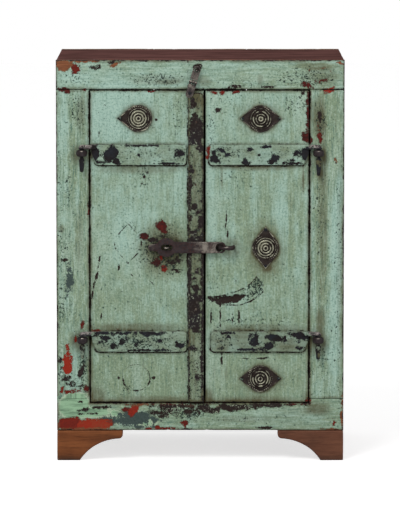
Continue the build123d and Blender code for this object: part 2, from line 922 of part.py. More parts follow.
with BuildPart() as latch_leaf:
    with BuildSketch(latch_plane):
        draw_latch_plate(-plate_start, -latch_leaf_length + latch_width / 2, -latch_leaf_length)
        for end in (-1, 1):
            with Locations((end * (leaf_knuckle + latch_width / 2) / 2, -plate_start / 2)):
                Rectangle(latch_width / 2 - leaf_knuckle, plate_start)
        with Locations((0, -latch_nail_distance)):
            Circle(nail_hole, mode=Mode.SUBTRACT)
    extrude(amount=latch_thickness)
    for low, high in ((-latch_width / 2, -leaf_knuckle), (leaf_knuckle, latch_width / 2)):
        bore_knuckle(make_knuckle(low, high), high - low, latch_pin_radius + driven_play)
save(latch_leaf.part, "latch_leaf")

with BuildPart() as latch_strap:
    with BuildSketch(latch_plane):
        draw_latch_plate(plate_start, latch_strap_length - latch_width / 2, latch_strap_length)
        with Locations((0, plate_start / 2)):
            Rectangle(latch_knuckle_width, plate_start)
        with Locations((0, latch_eye_distance + latch_hole_offset)):
            Ellipse(latch_hole_width / 2, latch_hole_height / 2, mode=Mode.SUBTRACT)
    extrude(amount=latch_thickness)
    barrel = make_knuckle(-half_knuckle, half_knuckle)
    bore_knuckle(barrel, latch_knuckle_width, latch_pin_radius + latch_play)
save(latch_strap.part, "latch_strap")

with BuildPart() as latch_pin:
    pin_end = Plane(
        origin=latch_plane.from_local_coords(
            (-latch_width / 2 - latch_pin_overhang, 0, latch_knuckle_radius)
        ),
        x_dir=latch_plane.z_dir,
        z_dir=latch_plane.x_dir,
    )
    with BuildSketch(pin_end):
        Circle(latch_pin_radius)
    extrude(amount=latch_width + 2 * latch_pin_overhang)
save(latch_pin.part, "latch_pin")
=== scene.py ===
import json
import math

import bmesh
import bpy
import numpy as np
from mathutils import Matrix, Vector


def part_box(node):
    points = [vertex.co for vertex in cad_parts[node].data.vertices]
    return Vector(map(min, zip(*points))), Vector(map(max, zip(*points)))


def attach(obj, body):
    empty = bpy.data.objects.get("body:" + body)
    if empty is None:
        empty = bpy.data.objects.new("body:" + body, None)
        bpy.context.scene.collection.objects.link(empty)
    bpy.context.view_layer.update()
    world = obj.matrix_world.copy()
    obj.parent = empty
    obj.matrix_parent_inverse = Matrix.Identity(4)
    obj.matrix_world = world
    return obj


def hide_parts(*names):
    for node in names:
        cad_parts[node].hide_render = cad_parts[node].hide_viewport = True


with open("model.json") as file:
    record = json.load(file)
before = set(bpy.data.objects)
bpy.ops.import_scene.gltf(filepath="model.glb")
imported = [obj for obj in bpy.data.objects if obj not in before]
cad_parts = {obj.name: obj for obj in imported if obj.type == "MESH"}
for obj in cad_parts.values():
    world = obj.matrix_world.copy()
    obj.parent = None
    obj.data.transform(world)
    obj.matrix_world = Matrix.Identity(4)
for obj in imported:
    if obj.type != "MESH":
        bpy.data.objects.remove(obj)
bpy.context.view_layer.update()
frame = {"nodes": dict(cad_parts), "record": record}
mm = 0.001  # every size below is in millimetres
bodyOf = {}
for bodyName, bodyNodes in frame["record"]["behaviour"]["bodies"].items():
    bodyOf.update({node: bodyName for node in bodyNodes})
print("frame loaded,", len(bodyOf), "nodes")


def boxOf(node):  # lowest and highest corner, millimetres
    low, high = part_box(node)
    return np.array(low) / mm, np.array(high) / mm


# lumpy values for shapes and wear, the same on every run

def latticeValue(cell, seed):
    mixed = cell[:, 0] * 73856093 ^ cell[:, 1] * 19349663 ^ cell[:, 2] * 83492791 ^ seed * 2654435
    mixed = (mixed ^ mixed >> 13) * 1274126177
    mixed = mixed ^ mixed >> 16
    return (mixed & 65535) / 32767.5 - 1


def lumps(points, size, seed):  # from -1 to 1, each lump about size across
    spot = points / size
    cell = np.floor(spot).astype(np.int64)
    part = spot - cell
    part = part * part * (3 - 2 * part)
    total = np.zeros(len(points))
    for corner in np.ndindex(2, 2, 2):
        weight = np.prod(np.where(corner, part, 1 - part), axis=1)
        total += weight * latticeValue(cell + corner, seed)
    return total


def ragged(points, size, seed, layers=3):  # lumps with smaller lumps on them
    size = np.asarray(size, float)
    return sum(lumps(points, size / 2 ** k, seed + 17 * k) / 2 ** k for k in range(layers)) / 1.3


def ease(value, low, high):
    share = np.clip((value - low) / (high - low), 0, 1)
    return share * share * (3 - 2 * share)


# making meshes and setting them in place of the plain parts

def linked(name, data):
    made = bpy.data.objects.new(name, data)
    bpy.context.scene.collection.objects.link(made)
    return made


def makePiece(name, points, faces, material):
    mesh = bpy.data.meshes.new(name)
    mesh.from_pydata((np.asarray(points) * mm).tolist(), [], faces)
    mesh.materials.append(material)
    piece = linked(name, mesh)
    pointOutwards(mesh)
    return piece


def pointOutwards(mesh):
    shell = bmesh.new()
    shell.from_mesh(mesh)
    bmesh.ops.recalc_face_normals(shell, faces=shell.faces)
    shell.to_mesh(mesh)
    shell.free()
    mesh.shade_smooth()


def pointsOf(mesh):  # millimetres
    flat = np.zeros(len(mesh.vertices) * 3)
    mesh.vertices.foreach_get("co", flat)
    return flat.reshape(-1, 3) / mm


def movePoints(mesh, points):
    mesh.vertices.foreach_set("co", (points * mm).ravel())
    mesh.update()


def normalsOf(mesh):
    flat = np.zeros(len(mesh.vertices) * 3)
    mesh.vertex_normals.foreach_get("vector", flat)
    return flat.reshape(-1, 3)


def store(mesh, name, *columns):  # up to four values for each point, read by the materials
    columns = [np.broadcast_to(np.asarray(c, float), len(mesh.vertices)) for c in columns]
    while len(columns) < 4:
        columns.append(np.zeros(len(mesh.vertices)))
    layer = mesh.attributes.new(name, "FLOAT_COLOR", "POINT")
    layer.data.foreach_set("color", np.column_stack(columns).astype(np.float32).ravel())


def settle(piece, slotName, *nodes):  # the piece takes the place of these nodes
    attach(piece, bodyOf[nodes[0]])
    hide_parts(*nodes)
    return piece


def baked(piece):  # the evaluated shape as a plain mesh, modifiers gone
    bpy.context.view_layer.update()
    graph = bpy.context.evaluated_depsgraph_get()
    mesh = bpy.data.meshes.new_from_object(piece.evaluated_get(graph))
    piece.modifiers.clear()
    piece.data = mesh
    return piece


# materials, all on Object coordinates and the values stored in the meshes

def add(tree, kind, inputs=None, **settings):
    made = tree.nodes.new(kind)
    for key, value in settings.items():
        setattr(made, key, value)
    for key, value in (inputs or {}).items():
        if isinstance(value, bpy.types.NodeSocket):
            tree.links.new(value, made.inputs[key])
        else:
            made.inputs[key].default_value = value
    return made


def calc(tree, operation, first, second=0.0, third=0.0, clamp=False):
    inputs = {0: first, 1: second, 2: third}
    return add(tree, "ShaderNodeMath", inputs, operation=operation, use_clamp=clamp).outputs[0]


def ramp(tree, value, low, high, start=0.0, end=1.0):
    inputs = {"Value": value, "From Min": low, "From Max": high, "To Min": start, "To Max": end}
    return add(tree, "ShaderNodeMapRange", inputs, interpolation_type="SMOOTHSTEP").outputs[0]


def tint(tree, share, under, over):
    made = add(tree, "ShaderNodeMix", data_type="RGBA", clamp_factor=True)
    for index, value in ((0, share), (6, under), (7, over)):
        if isinstance(value, bpy.types.NodeSocket):
            tree.links.new(value, made.inputs[index])
        else:
            made.inputs[index].default_value = value if index == 0 else (*value, 1)
    return made.outputs[2]


def speckle(tree, place, scale, detail=4.0, roughness=0.6):
    inputs = {"Vector": place, "Scale": scale, "Detail": detail, "Roughness": roughness}
    return add(tree, "ShaderNodeTexNoise", inputs).outputs[0]


def stretched(tree, along, ratio):  # object coordinates in metres, drawn out along the grain
    scale = [1.0, 1.0, 1.0]
    scale["XYZ".index(along)] = 1 / ratio
    coordinates = add(tree, "ShaderNodeTexCoord").outputs["Object"]
    return add(tree, "ShaderNodeMapping", {"Vector": coordinates, "Scale": scale}).outputs[0]


def stored(tree, name):  # the four values kept under that name
    read = add(tree, "ShaderNodeAttribute", attribute_name=name)
    parts = add(tree, "ShaderNodeSeparateColor", {"Color": read.outputs["Color"]})
    return [*parts.outputs[:3], read.outputs["Alpha"]]


def startMaterial(name):
    material = bpy.data.materials.new(name)
    material.use_nodes = True
    tree = material.node_tree
    tree.nodes.clear()
    surface = add(tree, "ShaderNodeBsdfPrincipled")
    output = add(tree, "ShaderNodeOutputMaterial", {"Surface": surface.outputs[0]})
    output.location = (400, 0)
    return material, tree, surface


def setRelief(tree, surface, height, depth):  # depth in millimetres
    bump = add(tree, "ShaderNodeBump", {"Height": height, "Distance": depth * mm, "Strength": 1.0})
    tree.links.new(bump.outputs[0], surface.inputs["Normal"])


paintLook = dict(
    tear=24.0,  # how far the noise pushes the edge of a chip in and out
    pits=((360, 0.705), (200, 0.72), (600, 0.71)),  # noise scale and the level above which it is a pit
)
paintColours = dict(
    mint=(0.325, 0.475, 0.4),
    paleMint=(0.42, 0.56, 0.47),
    olive=(0.215, 0.285, 0.18),
    oliveBrown=(0.12, 0.11, 0.06),
    straw=(0.4, 0.47, 0.31),
    deepGreen=(0.085, 0.165, 0.125),
    pit=(0.016, 0.026, 0.023),
    cream=(0.46, 0.53, 0.39),
    paleGreen=(0.28, 0.45, 0.285),
    paleShade=(0.13, 0.22, 0.14),
    slateGreen=(0.036, 0.056, 0.05),
    slateLight=(0.052, 0.074, 0.068),
    oxideDark=(0.036, 0.013, 0.012),
    oxideBright=(0.27, 0.026, 0.014),
    oxideOrange=(0.23, 0.055, 0.026),
    wood=(0.25, 0.095, 0.045),
    woodDark=(0.1, 0.04, 0.022),
    grime=(0.085, 0.08, 0.042),
    black=(0.013, 0.01, 0.01),
    iron=(0.019, 0.022, 0.028),
    brownIron=(0.028, 0.018, 0.014),
    fleck=(0.13, 0.12, 0.1),
    rubbedIronHighlight=(0.36, 0.32, 0.3),
)


def wornPaint(name, along, pitting=1.0, ironUnder=0.3, streaks=1.0, grain=0.5, shine=0.55,
              flecks=0.25, crumbs=0.0):
    material, tree, surface = startMaterial(name)
    c = paintColours
    dark, red, pale, slate = stored(tree, "loss")
    bare, warm, grime, olive = stored(tree, "stain")
    pits, rubbed = stored(tree, "marks")[:2]
    plain = add(tree, "ShaderNodeTexCoord").outputs["Object"]
    broad = speckle(tree, stretched(tree, along, 5), 26, 3)
    streak = speckle(tree, stretched(tree, along, 9), 210, 4, 0.7)
    cloud = speckle(tree, plain, 42, 4)
    fine = speckle(tree, plain, 360, 4, 0.75)
    rough = speckle(tree, plain, 900, 3, 0.75)
    grit = calc(tree, "SUBTRACT", speckle(tree, plain, 330, 5, 0.75), 0.5)
    reach = paintLook["tear"]
    tear = calc(tree, "MULTIPLY_ADD", speckle(tree, plain, 125, 8, 0.82), reach, reach / -2)

    # the coat itself: mint that turns olive in streaks and clouds
    oliveness = olive
    for noise, strength in ((broad, 1.3), (streak, 1.1 * streaks), (cloud, 1.2)):
        oliveness = calc(tree, "MULTIPLY_ADD", calc(tree, "SUBTRACT", noise, 0.5), strength, oliveness)
    colour = tint(tree, ramp(tree, oliveness, 0.0, 1.1), c["mint"], c["olive"])
    thin = speckle(tree, stretched(tree, along, 9), 260, 5, 0.75)
    brown = calc(tree, "MULTIPLY", ramp(tree, thin, 0.5, 0.68), ramp(tree, oliveness, 0.5, 1.7, 0.0, 0.75))
    colour = tint(tree, brown, colour, c["oliveBrown"])
    straw = calc(tree, "MULTIPLY", ramp(tree, thin, 0.47, 0.3), ramp(tree, oliveness, 0.4, 1.4, 0.0, 0.45))
    colour = tint(tree, straw, colour, c["straw"])
    dim = calc(tree, "MULTIPLY", ramp(tree, streak, 0.52, 0.78), 0.5 * streaks)
    colour = tint(tree, dim, colour, c["deepGreen"])
    colour = tint(tree, ramp(tree, broad, 0.52, 0.7, 0.0, 0.4), colour, c["paleMint"])
    line = speckle(tree, stretched(tree, along, 12), 450, 4, 0.75)
    inOlive = ramp(tree, oliveness, -0.2, 1.2, 0.4 * grain, grain)
    lines = calc(tree, "MULTIPLY", ramp(tree, line, 0.52, 0.66), inOlive)
    colour = tint(tree, lines, colour, c["deepGreen"])
    colour = tint(tree, ramp(tree, line, 0.48, 0.34, 0.0, 0.7 * grain), colour, c["paleMint"])
    colour = tint(tree, ramp(tree, fine, 0.5, 0.66, 0.0, 0.6), colour, c["deepGreen"])
    colour = tint(tree, ramp(tree, fine, 0.48, 0.34, 0.0, 0.45), colour, c["paleMint"])
    edgeOfNew = calc(tree, "MULTIPLY_ADD", tear, 0.8, pale)
    newer = ramp(tree, edgeOfNew, -0.5, 0.5)
    lip = calc(tree, "MULTIPLY", newer, ramp(tree, edgeOfNew, 1.6, 0.4))
    newPaint = tint(tree, ramp(tree, thin, 0.42, 0.66), c["paleGreen"], c["paleShade"])
    colour = tint(tree, newer, colour, newPaint)
    colour = tint(tree, calc(tree, "MULTIPLY", lip, 0.9), colour, c["cream"])
    older = ramp(tree, calc(tree, "MULTIPLY_ADD", tear, -1.5, slate), -0.4, 0.4)
    slatePaint = tint(tree, ramp(tree, fine, 0.35, 0.65), c["slateGreen"], c["slateLight"])
    colour = tint(tree, older, colour, slatePaint)

    # grime sits in the low spots; the same channel carries the painted shade under and above the straps and
    # round the ironwork
    dirt = calc(tree, "MULTIPLY", grime, ramp(tree, cloud, 0.2, 0.6, 0.55, 1.15))
    dirt = calc(tree, "MULTIPLY", dirt, ramp(tree, thin, 0.3, 0.7, 0.75, 1.15), clamp=True)
    colour = tint(tree, dirt, colour, c["grime"])

    # small pits, more of them where the board says so
    holes = 0.0
    for size, level in paintLook["pits"]:
        spots = speckle(tree, plain, size, 3, 0.55)
        limit = calc(tree, "MULTIPLY_ADD", pits, -0.085 * pitting, level)
        found = ramp(tree, calc(tree, "SUBTRACT", spots, limit), 0.0, 0.025)
        holes = calc(tree, "MAXIMUM", found, holes)
    colour = tint(tree, calc(tree, "MULTIPLY", holes, 0.92), colour, c["pit"])

    # undercoat, bare wood and black where the coat is gone
    redness = ramp(tree, calc(tree, "ADD", tear, red), -0.25, 0.25)
    brightness = calc(tree, "MULTIPLY_ADD", grit, 1.1, warm, clamp=True)
    oxide = tint(tree, brightness, c["oxideDark"], c["oxideBright"])
    orange = ramp(tree, calc(tree, "MULTIPLY_ADD", grit, 2.0, warm), 1.0, 2.0)
    oxide = tint(tree, orange, oxide, c["oxideOrange"])
    colour = tint(tree, redness, colour, oxide)
    bareness = ramp(tree, calc(tree, "MULTIPLY_ADD", tear, 0.8, bare), -0.25, 0.25)
    timber = tint(tree, ramp(tree, streak, 0.3, 0.7), c["wood"], c["woodDark"])
    colour = tint(tree, bareness, colour, timber)
    darkness = ramp(tree, calc(tree, "ADD", tear, dark), -0.2, 0.2)
    under = tint(tree, ramp(tree, cloud, 0.3, 0.7), c["black"], c["iron"])
    under = tint(tree, ironUnder, c["brownIron"], under)
    under = tint(tree, ramp(tree, fine, 0.52, 0.72, 0.0, flecks), under, c["fleck"])
    crumb = calc(tree, "MULTIPLY", ramp(tree, fine, 0.575, 0.635), ramp(tree, cloud, 0.5, 0.58, 0.0, crumbs))
    under = tint(tree, crumb, under, c["cream"])
    # painted highlight on the straps' necks and upper faces, partly rubbed metal
    under = tint(tree, calc(tree, "MULTIPLY", rubbed, ramp(tree, fine, 0.4, 0.6)), under, c["rubbedIronHighlight"])
    colour = tint(tree, darkness, colour, under)
    tree.links.new(colour, surface.inputs["Base Color"])

    gone = calc(tree, "MAXIMUM", calc(tree, "MAXIMUM", redness, bareness), darkness)
    gone = calc(tree, "MAXIMUM", gone, holes)
    dull = ramp(tree, cloud, 0.3, 0.7, shine - 0.08, shine + 0.12)
    dull = calc(tree, "MULTIPLY_ADD", gone, 0.12, dull)
    dull = calc(tree, "MULTIPLY_ADD", dirt, 0.15, dull, clamp=True)
    tree.links.new(dull, surface.inputs["Roughness"])
    film = calc(tree, "SUBTRACT", 1.0, gone)
    film = calc(tree, "MULTIPLY_ADD", streak, 0.35, film)
    film = calc(tree, "MULTIPLY_ADD", rough, 0.3, film)
    setRelief(tree, surface, film, 0.35)
    tree.links.new(calc(tree, "MULTIPLY_ADD", gone, -0.1, 0.14), surface.inputs["Specular IOR Level"])
    return material


woodDirt = (0.02, 0.014, 0.01)


def stainedWood(name, along, dark, light, shine=0.42, worn=0.3, gloss=0.12):
    material, tree, surface = startMaterial(name)
    edge, grime = stored(tree, "wood")[:2]
    plain = add(tree, "ShaderNodeTexCoord").outputs["Object"]
    wave = speckle(tree, stretched(tree, along, 11), 70, 5, 0.65)
    pores = speckle(tree, stretched(tree, along, 22), 700, 3, 0.7)
    cloud = speckle(tree, plain, 22, 4)
    grit = speckle(tree, plain, 420, 4, 0.7)
    colour = tint(tree, ramp(tree, wave, 0.32, 0.68), dark, light)
    colour = tint(tree, ramp(tree, pores, 0.52, 0.72, 0.0, 0.55), colour, [v * 0.35 for v in dark])
    colour = tint(tree, ramp(tree, cloud, 0.4, 0.75, 0.0, 0.4), colour, [v * 0.55 for v in dark])
    rubbed = calc(tree, "MULTIPLY", edge, ramp(tree, grit, 0.35, 0.65))
    colour = tint(tree, calc(tree, "MULTIPLY", rubbed, worn), colour, [min(1, v * 1.9 + 0.02) for v in light])
    dirt = calc(tree, "MULTIPLY", grime, ramp(tree, cloud, 0.3, 0.7, 0.4, 1.0))
    colour = tint(tree, dirt, colour, woodDirt)
    tree.links.new(colour, surface.inputs["Base Color"])
    tree.links.new(ramp(tree, wave, 0.2, 0.8, shine, shine + 0.2), surface.inputs["Roughness"])
    height = calc(tree, "MULTIPLY_ADD", pores, -0.7, wave)
    setRelief(tree, surface, height, 0.3)
    surface.inputs["Specular IOR Level"].default_value = gloss
    return material


def darkIron(name, base, dust, rust, shine=0.5, metal=0.35):
    material, tree, surface = startMaterial(name)
    rubAndHighlight, browned = stored(tree, "iron")[:2]
    plain = add(tree, "ShaderNodeTexCoord").outputs["Object"]
    cloud = speckle(tree, plain, 160, 4)
    fine = speckle(tree, plain, 800, 4, 0.7)
    colour = tint(tree, ramp(tree, cloud, 0.35, 0.65), base, [v * 1.7 + 0.004 for v in base])
    rusty = calc(tree, "MULTIPLY", ramp(tree, fine, 0.42, 0.66), browned)
    colour = tint(tree, rusty, colour, rust)
    # dust colour where the stored value is high: dust on rubbed crests, and painted highlights on faces
    # turned to the lamp
    dustAndHighlight = ramp(tree, calc(tree, "MULTIPLY_ADD", calc(tree, "SUBTRACT", fine, 0.5), 1.2, rubAndHighlight), 0.35, 0.85)
    colour = tint(tree, dustAndHighlight, colour, dust)
    tree.links.new(colour, surface.inputs["Base Color"])
    dull = ramp(tree, fine, 0.3, 0.7, shine - 0.1, shine + 0.15)
    dull = calc(tree, "MULTIPLY_ADD", dustAndHighlight, -0.12, dull)
    tree.links.new(dull, surface.inputs["Roughness"])
    tree.links.new(calc(tree, "MULTIPLY_ADD", dustAndHighlight, 0.9 - metal, metal), surface.inputs["Metallic"])
    surface.inputs["Specular IOR Level"].default_value = 0.1
    setRelief(tree, surface, calc(tree, "MULTIPLY_ADD", cloud, 1.2, fine), 0.25)
    return material


paintUpright = wornPaint("paintUpright", "Z")
paintLevel = wornPaint("paintLevel", "X", pitting=1.15, grain=0.75, crumbs=0.7)
paintStile = wornPaint("paintStile", "Z", pitting=1.1, streaks=1.4, grain=0.95)
paintStrip = wornPaint("paintStrip", "Z", pitting=1.0, ironUnder=0.55, flecks=0.6, crumbs=0.55)
paintStrap = wornPaint("paintStrap", "X", pitting=1.3, ironUnder=0.95, streaks=0.5, shine=0.5, flecks=0.1)
topWood = stainedWood("topWood", "X", (0.08, 0.038, 0.034), (0.175, 0.08, 0.072), gloss=0.0)
sideWood = stainedWood("sideWood", "Z", (0.06, 0.025, 0.018), (0.12, 0.045, 0.028))
footColours = dict(  # dark and light of the grain
    left=((0.111, 0.033, 0.011), (0.216, 0.072, 0.024)),
    right=((0.082, 0.03, 0.017), (0.16, 0.065, 0.036)),
)
footWood = {}
for side, (dark, light) in footColours.items():
    for along in "XY":
        footWood[side, along] = stainedWood(f"footWood_{side}_{along}", along, dark, light)
innerLevel = stainedWood("innerLevel", "X", (0.17, 0.1, 0.055), (0.3, 0.19, 0.11), shine=0.7)
innerUpright = stainedWood("innerUpright", "Z", (0.15, 0.09, 0.05), (0.27, 0.17, 0.1), shine=0.7)
innerDeep = stainedWood("innerDeep", "Y", (0.17, 0.1, 0.055), (0.28, 0.17, 0.1), shine=0.7)
forgedIron = darkIron("forgedIron", (0.017, 0.014, 0.015), (0.19, 0.17, 0.145), (0.06, 0.024, 0.018))
rosetteIron = darkIron("rosetteIron", (0.014, 0.011, 0.01), (0.27, 0.265, 0.2), (0.045, 0.026, 0.018))
nailIron = darkIron("nailIron", (0.03, 0.025, 0.022), (0.12, 0.1, 0.08), (0.09, 0.04, 0.025))
print("materials ready")
